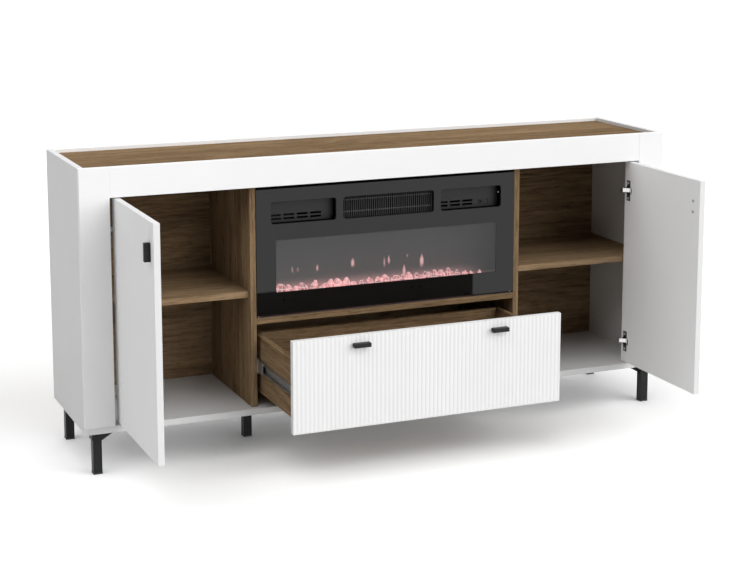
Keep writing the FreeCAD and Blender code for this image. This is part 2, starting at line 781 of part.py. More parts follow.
# Three-part drawer slides: rail on the divider, middle member, runner on the drawer
def slides():
    rail_y = f"({INNER_FRONT} + slide_sheet)"
    rail = channel("slide_rail", "0", "slide_gap - slide_tuck * 2", rail_y, "slide_tall", "0")
    middle_y = f"({rail_y} - drawer_out * 3 / 20)"
    middle_far = "slide_gap - slide_tuck"
    middle = channel("slide_middle", "slide_step", middle_far, middle_y, "slide_middle_tall", "0")
    runner_y = f"({rail_y} - drawer_out)"
    runner_near = "slide_step + 2 * slide_sheet"
    runner = channel("slide_runner", runner_near, "slide_gap", runner_y, "slide_runner_tall", "1")
    outer_low = "slide_middle_tall / 2"
    outer_high = "slide_tall / 2 - slide_sheet - slide_play"
    inner_low = "slide_runner_tall / 2 + slide_play"
    inner_high = "slide_middle_tall / 2 - slide_sheet"
    cages = cage_pair("outer_cage", outer_low, outer_high, f"{rail_y} + 2 * slide_tuck")
    cages += cage_pair("inner_cage", inner_low, inner_high, f"{middle_y} + slide_tuck")
    sets = {"slide_rails": [rail], "slide_middles": [middle] + cages, "slide_runners": [runner]}
    for label, items in sets.items():
        items += [mirrored(item.Name + "_right", item) for item in list(items)]
        node(label, group(label, items))


def channel(name, near, far, y, tall, web_far):
    wide = f"({far} - ({near}))"
    web_x = f"-{NICHE} + {near} + {web_far} * ({wide} - slide_sheet)"
    low = f"({SLIDE_Z} - {tall} / 2)"
    web = block(name + "_web", (web_x, y, low), ("slide_sheet", "drawer_depth", tall))
    lips = []
    lip_size = (wide, "drawer_depth", "slide_sheet")
    for index, z in enumerate((low, f"{low} + {tall} - slide_sheet")):
        lips.append(block(f"{name}_lip_{index}", (f"-{NICHE} + {near}", y, z), lip_size))
    return fuse(name, [web] + lips)


def cage_pair(name, low, high, y):
    tall = f"({high} - ({low}))"
    x = f"-{NICHE} + slide_step + 2 * slide_sheet"
    bars = []
    for index, z in enumerate((f"{SLIDE_Z} + {low}", f"{SLIDE_Z} - ({high})")):
        bars.append(block(f"{name}_{index}", (x, y, z), ("cage_wide", "cage_long", tall)))
    return bars


# Fireplace front: glass, plate, vents and grille
def vent_cutters(name, y, deep):
    sides = {
        "left": (f"-side_vent_inner - {SIDE_VENT}", SIDE_VENT),
        "centre": ("-grille_wide / 2", "grille_wide"),
        "right": ("side_vent_inner", SIDE_VENT),
    }
    cutters = []
    for side, (x, wide) in sides.items():
        size = (wide, deep, "vent_tall")
        cutters.append(rounded(f"{name}_{side}", (x, y, VENT_LOW), size, "vent_round", (0, 1, 0)))
    return cutters


def fire_front():
    glass_size = (FIRE_WIDE, "glass_thick", FIRE_TALL)
    glass = board("glass_sheet", (f"-{FIRE_WIDE} / 2", GLASS_Y, FIRE_LOW), glass_size)
    glass_cutters = vent_cutters("glass_vent", f"{GLASS_Y} - glass_thick", "3 * glass_thick")
    node("fire_glass", cut("glass", glass, glass_cutters))
    plate_corner = (f"-{FIRE_WIDE} / 2 + sheet", PLATE_Y, f"{FIRE_LOW} + sheet")
    plate_size = (f"{FIRE_WIDE} - 2 * sheet", "sheet", f"{FIRE_TALL} - 2 * sheet")
    plate = block("plate_sheet", plate_corner, plate_size)
    window_corner = (f"-{WINDOW_WIDE} / 2", f"{PLATE_Y} - sheet", f"{FIRE_LOW} + window_rise")
    window = block("window_cut", window_corner, (WINDOW_WIDE, "3 * sheet", WINDOW_TALL))
    plate_cutters = vent_cutters("plate_vent", f"{PLATE_Y} - sheet", "3 * sheet")
    node("fire_front_plate", cut("front_plate", plate, plate_cutters + [window]))
    left_pan = vent_pan("left_pan", f"(-side_vent_inner - {SIDE_VENT})", "left_slot_start", LEFT_SLOTS, [])
    switch_corner = (
        f"{SWITCH_X} - switch_long / 2 - cup_play",
        f"{PAN_BACK} - sheet",
        f"{SWITCH_Z} - switch_tall / 2 - cup_play",
    )
    switch_size = ("switch_long + 2 * cup_play", "3 * sheet", "switch_tall + 2 * cup_play")
    switch_hole = block("switch_hole", switch_corner, switch_size)
    right_pan = vent_pan("right_pan", "side_vent_inner", "right_slot_start", RIGHT_SLOTS, [switch_hole])
    node("vent_pans", group("pans", [left_pan, right_pan]))
    node("air_grille", air_grille())


def vent_pan(name, x, start, columns, extra):
    outer_corner = (f"{x} - sheet", HOUSING_Y, f"{VENT_LOW} - sheet")
    outer_size = (f"{SIDE_VENT} + 2 * sheet", "pan_deep + sheet", "vent_tall + 2 * sheet")
    outer = rounded(name + "_outer", outer_corner, outer_size, "vent_round + sheet", (0, 1, 0))
    inner_size = (SIDE_VENT, "pan_deep + sheet", "vent_tall")
    inner_corner = (x, f"{HOUSING_Y} - sheet", VENT_LOW)
    inner = rounded(name + "_inner", inner_corner, inner_size, "vent_round", (0, 1, 0))
    slots = []
    pitch = f"({SIDE_VENT} * {SLOT_SHARE})"
    slot_size = (f"{pitch} - slot_gap", "3 * sheet", "slot_tall")
    for column in range(columns):
        for line in range(SLOT_LINES):
            corner = (
                f"{x} + {start} + {column} * {pitch}",
                f"{PAN_BACK} - sheet",
                f"{VENT_LOW} + slot_rise + {line} * slot_row - slot_tall / 2",
            )
            label = f"{name}_slot_{column}_{line}"
            slots.append(rounded(label, corner, slot_size, f"slot_tall * {SLOT_ROUND}", (0, 1, 0)))
    return cut(name, outer, [inner] + slots + extra)


def air_grille():
    low = f"({VENT_LOW} - grille_flange)"
    face = f"({HOUSING_Y} + grille_setback)"
    size = ("grille_wide + 2 * grille_flange", "grille_thick", "vent_tall + 2 * grille_flange")
    body, feature = blank("grille_sheet", size)
    gap = body.newObject("PartDesign::SubtractiveBox", "grille_gap")
    count = "floor(grille_wide / fin_pitch)"
    bind(gap, Length="fin_gap", Width="3 * grille_thick", Height="vent_tall")
    first = f"grille_flange + (grille_wide - ({count} - 1) * fin_pitch - fin_gap) / 2"
    put(gap, first, "-grille_thick", "grille_flange")
    doc.recompute()
    pattern(body, gap, "X_Axis", count, "fin_pitch")
    put(body, "-grille_wide / 2 - grille_flange", face, low)
    wires = []
    for index, share in enumerate(WIRE_SHARES):
        z = f"{VENT_LOW} + {share} * vent_tall - wire / 2"
        corner = ("-grille_wide / 2", f"{face} + grille_thick", z)
        wires.append(block(f"grille_wire_{index}", corner, ("grille_wide", "wire", "wire")))
    collar_corner = ("-grille_wide / 2 - sheet", HOUSING_Y, f"{VENT_LOW} - sheet")
    collar_size = ("grille_wide + 2 * sheet", "grille_setback", "vent_tall + 2 * sheet")
    mouth_corner = ("-grille_wide / 2", f"{HOUSING_Y} - sheet", VENT_LOW)
    mouth = block("grille_mouth", mouth_corner, ("grille_wide", "grille_setback + 2 * sheet", "vent_tall"))
    collar = cut("grille_collar", block("grille_sleeve", collar_corner, collar_size), [mouth])
    return fuse("grille", [body, collar] + wires)


# Fireplace body: housing, loft plate, heater, blower, flame spindle, screen and bed
def fire_body():
    half = f"({HOUSING_WIDE} / 2)"
    inner_half = f"({half} - sheet)"
    outer_size = (HOUSING_WIDE, "housing_deep", HOUSING_TALL)
    outer = block("housing_outer", (f"-{half}", HOUSING_Y, SHELF_TOP), outer_size)
    inner_corner = (f"-{inner_half}", f"{HOUSING_Y} - sheet", CAVE)
    inner_size = (f"2 * {inner_half}", "housing_deep", f"{HOUSING_TALL} - 2 * sheet")
    inner = block("housing_inner", inner_corner, inner_size)
    inlet_cut = inlet_block("inlet_cut", "cup_play", "3 * inlet_deep")
    node("fire_housing", cut("housing", outer, [inner, inlet_cut]))
    room_deep = "housing_deep - sheet"
    loft_corner = (f"-{inner_half}", HOUSING_Y, f"{LOFT} - sheet")
    node("fire_loft_plate", block("loft_plate", loft_corner, (f"2 * {inner_half}", room_deep, "sheet")))
    heater()
    blower()
    spindle()
    screen_corner = (f"-{inner_half} + sheet", f"{HOUSING_Y} + screen_back", CAVE)
    screen_size = (f"2 * {inner_half} - 2 * sheet", "screen_thick", f"{LOFT} - sheet - {CAVE}")
    node("flame_screen", block("screen", screen_corner, screen_size))
    bed(inner_half)
    circuit(inner_half)
    power_switch()
    node("cord_inlet", cord_inlet())


def heater():
    duct_y = f"({HOUSING_Y} + grille_setback + grille_thick + wire)"
    top = f"({VENT_LOW} + vent_tall + 2 * sheet)"
    duct_tall = f"({top} - {LOFT})"
    half = "(grille_wide / 2)"
    outer = block("duct_outer", (f"-{half}", duct_y, LOFT), ("grille_wide", "duct_deep", duct_tall))
    inner_size = ("grille_wide - 2 * sheet", "2 * duct_deep", f"{duct_tall} - 2 * sheet")
    inner_corner = (f"-{half} + sheet", f"{duct_y} - duct_deep / 2", f"{LOFT} + sheet")
    inner = block("duct_inner", inner_corner, inner_size)
    node("heater_duct", cut("duct", outer, [inner]))
    long = "(grille_wide - 2 * sheet)"
    tall = f"({duct_tall} - 2 * sheet)"
    body, feature = blank("heater_core", (long, "heater_deep", tall))
    gap = body.newObject("PartDesign::SubtractiveBox", "heater_gap")
    count = f"floor({long} / heater_fin_pitch)"
    bind(gap, Length="heater_fin_gap", Width="3 * heater_deep", Height=f"{tall} - 2 * heater_rim")
    first = f"({long} - ({count} - 1) * heater_fin_pitch - heater_fin_gap) / 2"
    put(gap, first, "-heater_deep", "heater_rim")
    doc.recompute()
    pattern(body, gap, "X_Axis", count, "heater_fin_pitch")
    put(body, f"-{half} + sheet", f"{duct_y} + (duct_deep - heater_deep) / 2", f"{LOFT} + sheet")
    node("heater_element", body)


def bracket(name, x, y, z, base, radius):
    corner = (x, f"{y} - bracket_wide / 2", base)
    size = ("bracket_thick", "bracket_wide", f"{z} - {base} + bracket_wide / 2")
    plate = block(name + "_plate", corner, size)
    bore_start = (f"{x} - bracket_thick", y, z)
    bore = rod(name + "_bore", bore_start, f"{radius} + shaft_play", "3 * bracket_thick", "x")
    return cut(name, plate, [bore])


def motor(name, x, y, z, radius):
    can = rod(name + "_can", (x, y, z), "motor_radius", "motor_long", "x")
    bore_start = (f"{x} - motor_bore", y, z)
    bore = rod(name + "_bore", bore_start, f"{radius} + shaft_play", "2 * motor_bore", "x")
    return cut(name, can, [bore])


brackets = []
motors = []


def bearings(name, half, y, z, base, radius):
    sides = {"left": f"(-{half} - end_play - bracket_thick)", "right": f"({half} + end_play)"}
    for side, x in sides.items():
        brackets.append(bracket(f"{name}_{side}_bracket", x, y, z, base, radius))
    motors.append(motor(name + "_motor", f"({half} + end_play + bracket_thick)", y, z, radius))


def shaft(name, half, radius):
    outer = f"({half} + end_play + bracket_thick)"
    return rod(name, (f"-{outer}", "0", "0"), radius, f"2 * {outer} + shaft_in", "x")


def blower():
    half = "(wheel_long / 2)"
    pieces = [shaft("wheel_shaft", half, "shaft_radius")]
    disc_radius = "wheel_radius - blade_thick / 2"
    for index, x in enumerate((f"-{half}", "-blade_thick / 2", f"{half} - blade_thick")):
        pieces.append(rod(f"wheel_disc_{index}", (x, "0", "0"), disc_radius, "blade_thick", "x"))
    inner = "(wheel_radius - blade_deep)"
    for index in range(BLADES):
        angle = FULL * index / BLADES
        blade_size = ("wheel_long", "blade_deep", "blade_thick")
        blade = block(f"wheel_blade_{index}", ("0", "0", "0"), blade_size)
        turn(blade, (1, 0, 0), angle)
        put(blade, f"-{half}", f"{inner} * cos({angle})", f"{inner} * sin({angle})")
        pieces.append(blade)
    wheel = fuse("wheel", pieces)
    put(wheel, "0", WHEEL_Y, WHEEL_Z)
    node("blower_wheel", wheel)
    bearings("blower", half, WHEEL_Y, WHEEL_Z, LOFT, "shaft_radius")


def spindle():
    half = f"({SPINDLE_LONG} / 2)"
    pieces = [shaft("spindle_shaft", half, "spindle_radius")]
    fin_size = ("reflector_long", "2 * reflector_radius", "sheet")
    for index in range(REFLECTORS):
        x = f"(({index} + 1) / ({REFLECTORS} + 1) - 1 / 2) * {SPINDLE_LONG}"
        fin = block(f"reflector_{index}", ("0", "0", "0"), fin_size)
        angle = REFLECTOR_TURN * index
        turn(fin, (1, 0, 0), angle)
        put(fin, x, f"-reflector_radius * cos({angle})", f"-reflector_radius * sin({angle})")
        pieces.append(fin)
    whole = fuse("spindle", pieces)
    put(whole, "0", SPINDLE_Y, SPINDLE_Z)
    node("flame_spindle", whole)
    bearings("spindle", half, SPINDLE_Y, SPINDLE_Z, CAVE, "spindle_radius")


def bed(inner_half):
    top = f"({CAVE} + tray_rise)"
    tray_y = f"({HOUSING_Y} + sheet)"
    half = f"({inner_half} - sheet)"
    plate_corner = (f"-{half}", tray_y, f"{top} - tray_thick")
    plate = block("tray_plate", plate_corner, (f"2 * {half}", "tray_deep", "tray_thick"))
    ends = []
    for index, x in enumerate((f"-{half}", f"{half} - tray_thick")):
        end_size = ("tray_thick", "tray_deep", "tray_rise")
        ends.append(block(f"tray_end_{index}", (x, tray_y, CAVE), end_size))
    node("crystal_tray", fuse("tray", [plate] + ends))
    crystals = []
    pitch = f"(({WINDOW_WIDE} - bed_start - bed_end) / {CRYSTALS})"
    for row in range(CRYSTAL_ROWS):
        for index in range(CRYSTALS - row):
            gem = doc.addObject("Part::Prism", f"crystal_{row}_{index}")
            gem.Polygon = CRYSTAL_SIDES
            swell = CRYSTAL_MEAN + CRYSTAL_VARY * math.sin(CRYSTAL_WAVE * index + row)
            radius = f"{pitch} * {CRYSTAL_SHARE * swell:.3f}"
            bind(gem, Circumradius=radius, Height=f"crystal_size * {swell:.3f}")
            turn(gem, (0, 0, 1), CRYSTAL_TURN * index)
            x = f"-{WINDOW_WIDE} / 2 + bed_start + ({index} + (1 + {row}) / 2) * {pitch}"
            put(gem, x, f"{tray_y} + crystal_front + {row} * crystal_row", top)
            crystals.append(gem)
    node("crystals", group("crystal_bed", crystals))
    led_half = f"({half} - led_pitch)"
    body, feature = blank("led_channel", (f"2 * {led_half}", "led_wide", "led_tall"))
    lamp = body.newObject("PartDesign::AdditiveBox", "led_lamp")
    count = f"floor(2 * {led_half} / led_pitch)"
    bind(lamp, Length="led_wide / 3", Width="led_wide / 3", Height="led_tall / 4")
    first = f"({led_half} * 2 - ({count} - 1) * led_pitch - led_wide / 3) / 2"
    put(lamp, first, "led_wide / 3", "led_tall")
    doc.recompute()
    pattern(body, lamp, "X_Axis", count, "led_pitch")
    put(body, f"-{led_half}", f"{tray_y} + tray_deep / 2 - led_wide / 2", CAVE)
    node("led_strip", body)


def circuit(inner_half):
    x = f"({inner_half} - circuit_inset - circuit_wide)"
    y = f"({HOUSING_Y} + housing_deep - sheet - circuit_deep - bracket_thick)"
    deck = f"({LOFT} + standoff)"
    pieces = [block("circuit_deck", (x, y, deck), ("circuit_wide", "circuit_deep", "circuit_thick"))]
    for index, (u, v) in enumerate(STANDOFF_SHARES):
        start = (f"{x} + {u} * circuit_wide", f"{y} + {v} * circuit_deep", LOFT)
        pieces.append(rod(f"circuit_standoff_{index}", start, "screw_head_radius", "standoff"))
    for index, (u, v, wide, deep, tall) in enumerate(CIRCUIT_PARTS):
        corner = (f"{x} + {u} * circuit_wide", f"{y} + {v} * circuit_deep", f"{deck} + circuit_thick")
        size = (f"{wide} * circuit_wide", f"{deep} * circuit_deep", f"{tall} * circuit_thick")
        pieces.append(block(f"circuit_part_{index}", corner, size))
    node("control_board", fuse("circuit", pieces))


def power_switch():
    pivot_y = f"({PAN_BACK} + switch_deep / 3)"
    corner = (
        f"{SWITCH_X} - switch_long / 2",
        f"{PAN_BACK} - switch_lip",
        f"{SWITCH_Z} - switch_tall / 2",
    )
    outer = block("switch_outer", corner, ("switch_long", "switch_deep + switch_lip", "switch_tall"))
    hollow_corner = (
        f"{SWITCH_X} - switch_long / 2 + switch_wall",
        f"{PAN_BACK} - 2 * switch_lip",
        f"{SWITCH_Z} - switch_tall / 2 + switch_wall",
    )
    hollow_size = (
        "switch_long - 2 * switch_wall",
        "switch_deep + 2 * switch_lip - switch_wall",
        "switch_tall - 2 * switch_wall",
    )
    hollow = block("switch_hollow", hollow_corner, hollow_size)
    half_pin = "(switch_tall / 2 - switch_wall / 2)"
    eye_start = (SWITCH_X, pivot_y, f"{SWITCH_Z} - {half_pin} - pin_play")
    eye = rod("switch_eye", eye_start, "rocker_pin + pin_play", f"2 * ({half_pin} + pin_play)")
    node("switch_case", cut("case", outer, [hollow, eye]))
    half = "(switch_long / 2 - switch_wall - rocker_play)"
    half_tall = "(switch_tall / 2 - switch_wall - slide_play)"
    front = "(switch_deep / 3 + switch_lip - rocker_play / 2)"
    key_size = (f"2 * {half}", "rocker_deep", f"2 * {half_tall}")
    key = block("rocker_key", (f"-{half}", f"-{front}", f"-{half_tall}"), key_size)
    pin = rod("rocker_axle", ("0", "0", f"-{half_pin}"), "rocker_pin", f"2 * {half_pin}")
    rocker = fuse("rocker", [key, pin])
    turn(rocker, (0, 0, 1), -SIZES["rocker_tilt"])
    rocker.setExpression(".Placement.Rotation.Angle", formula("-rocker_tilt"))
    put(rocker, SWITCH_X, pivot_y, SWITCH_Z)
    node("power_switch", rocker)


def inlet_block(name, play, deep):
    rear = f"({HOUSING_Y} + housing_deep)"
    corner = (
        f"{INLET_X} - inlet_wide / 2 - {play}",
        f"{rear} - inlet_deep + 2 * sheet",
        f"{CAVE} + inlet_rise - inlet_tall / 2 - {play}",
    )
    return block(name, corner, (f"inlet_wide + 2 * {play}", deep, f"inlet_tall + 2 * {play}"))


def cord_inlet():
    mouth = f"({HOUSING_Y} + housing_deep + 2 * sheet)"
    shell = inlet_block("inlet_shell", "0", "inlet_deep")
    slot_corner = (
        f"{INLET_X} - inlet_slot_wide / 2",
        f"{mouth} - inlet_slot_deep",
        f"{CAVE} + inlet_rise - inlet_slot_tall / 2",
    )
    slot_size = ("inlet_slot_wide", "2 * inlet_slot_deep", "inlet_slot_tall")
    slot = rounded("inlet_slot", slot_corner, slot_size, f"inlet_slot_tall * {ROUND_SHARE}", (0, 1, 0))
    pins = []
    for index, sign in enumerate((-1, 1)):
        start = (
            f"{INLET_X} + {sign} * inlet_slot_wide / 4",
            f"{mouth} - inlet_slot_deep - sheet",
            f"{CAVE} + inlet_rise",
        )
        pins.append(rod(f"inlet_pin_{index}", start, "inlet_pin_radius", "inlet_pin_long", "y"))
    return fuse("inlet", [cut("inlet_body", shell, [slot])] + pins)


# Nails that hold the back sheet
def back_nails():
    nails = []
    low = "(leg_height + 2 * board)"
    lines = {"side": f"({LEFT} + board / 2)", "divider": f"(-{NICHE} - board / 2)"}
    for line, x in lines.items():
        for index in range(NAILS):
            z = f"{low} + {index} / {NAILS - 1} * (height - back_rail_height - {low} - board)"
            head = (x, "depth / 2", z)
            nails.append(screw(f"{line}_nail_{index}", head, "y", "back_board + board / 2", -1))
    return nails


carcass()
shelf_pins()
fixings = legs() + hinges() + back_nails()
fixings += [mirrored(item.Name + "_right", item) for item in list(fixings)]
node("cabinet_screws", group("screws", fixings))
door()
drawer()
slides()
fire_front()
fire_body()
node("bearing_brackets", group("bracket_set", brackets))
node("drive_motors", group("motor_set", motors))
doc.recompute()

# Every object must have computed and every node must be whole before anything is written
faulty = [item.Name for item in doc.Objects if {"Invalid", "Error"} & set(item.State)]
faulty += [item.Label for item in nodes if item.Shape.isNull() or not item.Shape.isValid()]
if faulty:
    raise RuntimeError("failed: " + ", ".join(faulty))

os.makedirs("parts", exist_ok=True)
for item in nodes:
    item.Shape.exportStep(f"parts/{item.Label}.step")
print(len(nodes), "nodes written")
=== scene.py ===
import json
import math

import bpy
import numpy as np
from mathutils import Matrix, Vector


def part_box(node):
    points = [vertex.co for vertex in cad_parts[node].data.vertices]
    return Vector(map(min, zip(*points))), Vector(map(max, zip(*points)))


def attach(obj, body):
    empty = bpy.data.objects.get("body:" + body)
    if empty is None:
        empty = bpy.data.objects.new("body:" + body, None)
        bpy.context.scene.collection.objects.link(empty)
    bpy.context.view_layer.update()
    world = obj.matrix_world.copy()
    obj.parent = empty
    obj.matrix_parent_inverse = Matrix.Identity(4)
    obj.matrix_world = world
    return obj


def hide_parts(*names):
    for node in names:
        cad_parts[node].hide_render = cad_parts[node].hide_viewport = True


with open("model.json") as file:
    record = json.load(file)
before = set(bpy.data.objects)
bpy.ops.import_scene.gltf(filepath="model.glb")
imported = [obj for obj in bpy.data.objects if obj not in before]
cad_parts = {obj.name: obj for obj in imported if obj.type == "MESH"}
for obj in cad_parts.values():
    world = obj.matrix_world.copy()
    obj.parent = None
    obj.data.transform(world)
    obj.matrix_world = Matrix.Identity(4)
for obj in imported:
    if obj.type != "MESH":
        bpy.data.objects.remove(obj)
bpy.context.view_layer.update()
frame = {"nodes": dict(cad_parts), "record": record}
nodes = frame["nodes"]
print("frame loaded:", len(nodes), "nodes")


# one socket of a finish; sums on it add Math nodes
class Strand:
    def __init__(self, tree, socket=None):
        self.tree = tree
        self.socket = socket

    # any node: its settings first, then the values or links of its inputs
    def node(self, kind, settings, inputs, out=0):
        made = self.tree.nodes.new("ShaderNode" + kind)
        for name, value in settings.items():
            if name == "stops":
                ramp = made.color_ramp.elements
                while len(ramp) < len(value):
                    ramp.new(1.0)
                for stop, (position, colour) in zip(ramp, value):
                    stop.position = position
                    stop.color = colour
            else:
                setattr(made, name, value)
        for name, value in inputs.items():
            if isinstance(value, Strand):
                self.tree.links.new(value.socket, made.inputs[name])
            else:
                made.inputs[name].default_value = value
        return Strand(self.tree, made.outputs[out] if len(made.outputs) else None)

    def math(self, operation, *others):
        return self.node("Math", {"operation": operation}, dict(enumerate((self, *others))))

    # the same, with the other value first
    def mathAfter(self, operation, first):
        return self.node("Math", {"operation": operation}, {0: first, 1: self})

    def __add__(self, other):
        return self.math("ADD", other)

    def __sub__(self, other):
        return self.math("SUBTRACT", other)

    def __mul__(self, other):
        return self.math("MULTIPLY", other)

    def __truediv__(self, other):
        return self.math("DIVIDE", other)

    def __radd__(self, other):
        return self.mathAfter("ADD", other)

    def __rsub__(self, other):
        return self.mathAfter("SUBTRACT", other)

    def __rmul__(self, other):
        return self.mathAfter("MULTIPLY", other)

    def __rtruediv__(self, other):
        return self.mathAfter("DIVIDE", other)

    def __abs__(self):
        return self.math("ABSOLUTE")

    # 0 below low, 1 above high, eased between
    def rise(self, low, high):
        return self.node("MapRange", {"interpolation_type": "SMOOTHSTEP"},
                         {"Value": self, "From Min": low, "From Max": high})

    # first colour where this is 0, second where it is 1
    def blend(self, first, second):
        return self.node("Mix", {"data_type": "RGBA"}, {0: self, 6: first, 7: second}, 2)

    def noise(self, scale, detail=2.0, rough=0.5, bend=0.0):
        return self.node("TexNoise", {}, {"Vector": self, "Scale": scale, "Detail": detail,
                                          "Roughness": rough, "Distortion": bend})

    def cells(self, scale, feature="F1", out="Distance"):
        return self.node("TexVoronoi", {"feature": feature}, {"Vector": self, "Scale": scale}, out)

    def parts(self):
        split = self.node("SeparateXYZ", {}, {"Vector": self}).socket.node
        return [Strand(self.tree, socket) for socket in split.outputs]


def grey(value):
    return (value, value, value, 1.0)


def startFinish(name):
    material = bpy.data.materials.new(name)
    material.use_nodes = True
    material.node_tree.nodes.clear()
    pen = Strand(material.node_tree)
    place = pen.node("TexCoord", {}, {}, "Object")
    return material, pen, place


# plain principled coat, with a bump where a height is given
def coat(pen, colour, rough, height=None, deep=0.0, **fixed):
    inputs = {"Base Color": colour, "Roughness": rough}
    inputs.update({name.replace("_", " "): value for name, value in fixed.items()})
    if height is not None:
        bump = {"Strength": 1.0, "Distance": deep, "Height": height}
        inputs["Normal"] = pen.node("Bump", {}, bump, "Normal")
    return pen.node("BsdfPrincipled", {}, inputs)


def endFinish(pen, surface):
    pen.node("OutputMaterial", {}, {"Surface": surface})


# in the looks below, a noise is its scale, detail, roughness and bend, as far as given,
# a band is where a mask starts and ends, and relief is the depth of the bump in metres

# white laminate: fine pearl texture and a faint cloud in the tone, toned per board: side panels
# and drawer front darker as painted shade, the bottom panel darker and the doors a little lighter;
# doors are plainer white inside, lighter as painted light, with painted shade along the free and
# top edges
whiteLook = {
    "tonesWithPaintedShade": {"carcass": 0.84, "side": 0.70, "door": 0.87, "drawer": 0.79, "bottom": 0.68},
    "cloud": (7.0, 3.0), "cloudDrop": 0.03, "pearl": (1300.0, 1.0), "relief": 0.00005,
    "rough": 0.50, "roughSpan": 0.2, "gloss": 0.15,
    "inside": 0.93, "doorFace": 0.8105, "faceSoft": 0.001,
    "paintedEdgeShade": 0.74, "edgeFrom": 0.0003, "edgeTo": 0.0008,
}


def whiteFinish(board):
    look = whiteLook
    material, pen, place = startFinish("whiteLaminate." + board)
    cloud = place.noise(*look["cloud"])
    pearl = place.noise(*look["pearl"])
    # per-board tone: side panels and drawer front darker as painted shade
    tone = look["tonesWithPaintedShade"][board]
    colour = cloud.blend(grey(tone - look["cloudDrop"]), grey(tone))
    if board == "door":
        low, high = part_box("left_door_panel")
        x, y, z = place.parts()
        # the doors' inner faces are a plainer, lighter white as painted light
        outside = abs(x).rise(look["doorFace"] - look["faceSoft"], look["doorFace"])
        colour = outside.blend(grey(look["inside"]), colour)
        # painted shade along the doors' free and top edges
        within = y.rise(low[1] + look["edgeFrom"], low[1] + look["edgeTo"])
        within = within * (1 - z.rise(high[2] - look["edgeTo"], high[2] - look["edgeFrom"]))
        colour = within.blend(grey(look["paintedEdgeShade"]), colour)
    rough = look["rough"] + (pearl - 0.5) * look["roughSpan"]
    endFinish(pen, coat(pen, colour, rough, pearl, look["relief"],
                        Specular_IOR_Level=look["gloss"]))
    return material


# oak decor: rings, bands, streaks and pores drawn out along the grain, with a few knots;
# each layer is its squeeze along the grain, then its noise
oakLook = {
    "stops": [(0.15, (0.095, 0.060, 0.032, 1)), (0.42, (0.180, 0.119, 0.066, 1)),
              (0.60, (0.242, 0.162, 0.091, 1)), (0.88, (0.335, 0.232, 0.138, 1))],
    "layers": {"swirl": (0.10, 5.5, 3.0, 0.55, 0.8), "drift": (0.05, 3.5, 2.0, 0.5, 0.0),
               "band": (0.06, 13.0, 3.0, 0.6, 0.0), "streak": (0.022, 150.0, 4.0, 0.65, 0.0),
               "fibre": (0.04, 520.0, 3.0, 0.6, 0.0), "pores": (0.045, 1100.0, 1.0, 0.5, 0.0),
               "dashes": (0.10, 230.0, 3.0, 0.6, 0.4)},
    "shares": {"rings": 0.14, "drift": 0.38, "band": 0.80, "streak": 0.72, "fibre": 0.70,
               "halo": 0.12, "dashes": 0.24},
    "settle": 0.10, "ringTurns": 62, "ringPush": 0.12, "dashBand": (0.50, 0.72),
    "knot": (0.040, 0.024, 0.013, 1), "knotShare": 0.8, "knotAlong": 0.45, "knotScale": 2.3,
    "knotBand": (0.015, 0.075), "haloBand": (0.03, 0.30),
    "pore": (0.095, 0.060, 0.033, 1), "poreShare": 0.55, "poreBand": (0.62, 0.72),
    "rough": 0.50, "fibreRough": 0.12, "poreRough": 0.1, "fibreHeight": 0.4, "relief": 0.00012,
}


# tone = weighted rings, drift, bands, streaks and fibres, less the dashes and halos round knots
def oakColour(pen, place, along, shift, lift):
    look, shares = oakLook, oakLook["shares"]

    def drawn(share):
        squeeze = [share if axis == along else 1.0 for axis in "xyz"]
        return pen.node("Mapping", {}, {"Vector": place, "Location": shift, "Scale": squeeze})

    def layer(name):
        share, *noise = look["layers"][name]
        return drawn(share).noise(*noise)

    knotSpan = drawn(look["knotAlong"]).cells(look["knotScale"])
    knot = 1 - knotSpan.rise(*look["knotBand"])
    halo = 1 - knotSpan.rise(*look["haloBand"])
    swirl = layer("swirl") + halo * look["ringPush"]
    rings = (swirl * look["ringTurns"]).math("SINE") * 0.5 + 0.5
    fibre = layer("fibre")
    pores = layer("pores").rise(*look["poreBand"])
    dashes = layer("dashes").rise(*look["dashBand"])
    tone = rings * shares["rings"] + layer("drift") * shares["drift"]
    tone = tone + (layer("band") - 0.5) * shares["band"]
    tone = tone + layer("streak") * shares["streak"] + (fibre - 0.5) * shares["fibre"]
    tone = tone + (lift - look["settle"])
    tone = tone - halo * shares["halo"] - dashes * shares["dashes"]
    colour = pen.node("ValToRGB", {"stops": look["stops"]}, {0: tone})
    colour = (pores * look["poreShare"]).blend(colour, look["pore"])
    colour = (knot * look["knotShare"]).blend(colour, look["knot"])
    return colour, fibre, pores


def oakFinish(name, along, shift, lift):
    material, pen, place = startFinish(name)
    colour, fibre, pores = oakColour(pen, place, along, shift, lift)
    rough = oakLook["rough"] + fibre * oakLook["fibreRough"] + pores * oakLook["poreRough"]
    height = fibre * oakLook["fibreHeight"] - pores
    endFinish(pen, coat(pen, colour, rough, height, oakLook["relief"], Specular_IOR_Level=0.0))
    return material


# thin back sheet: oak decor inside, bare brown hardboard outside, with felted fibres and blotches
backLook = {
    "grain": ("x", (0.7, 0.2, 1.4), 0.0), "turnOver": 0.1985, "soft": 0.0002,
    "bare": (0.335, 0.215, 0.118, 1), "flecked": (0.170, 0.098, 0.048, 1),
    "felt": (0.35, 1.0, 1.0), "fleck": (85.0, 6.0, 0.8, 1.5), "blotch": (4.0, 4.0, 0.6),
    "fleckShare": 1.5, "blotchShare": 0.9, "settle": 0.70,
    "rough": 0.6, "fibreRough": 0.15, "relief": 0.0001,
}


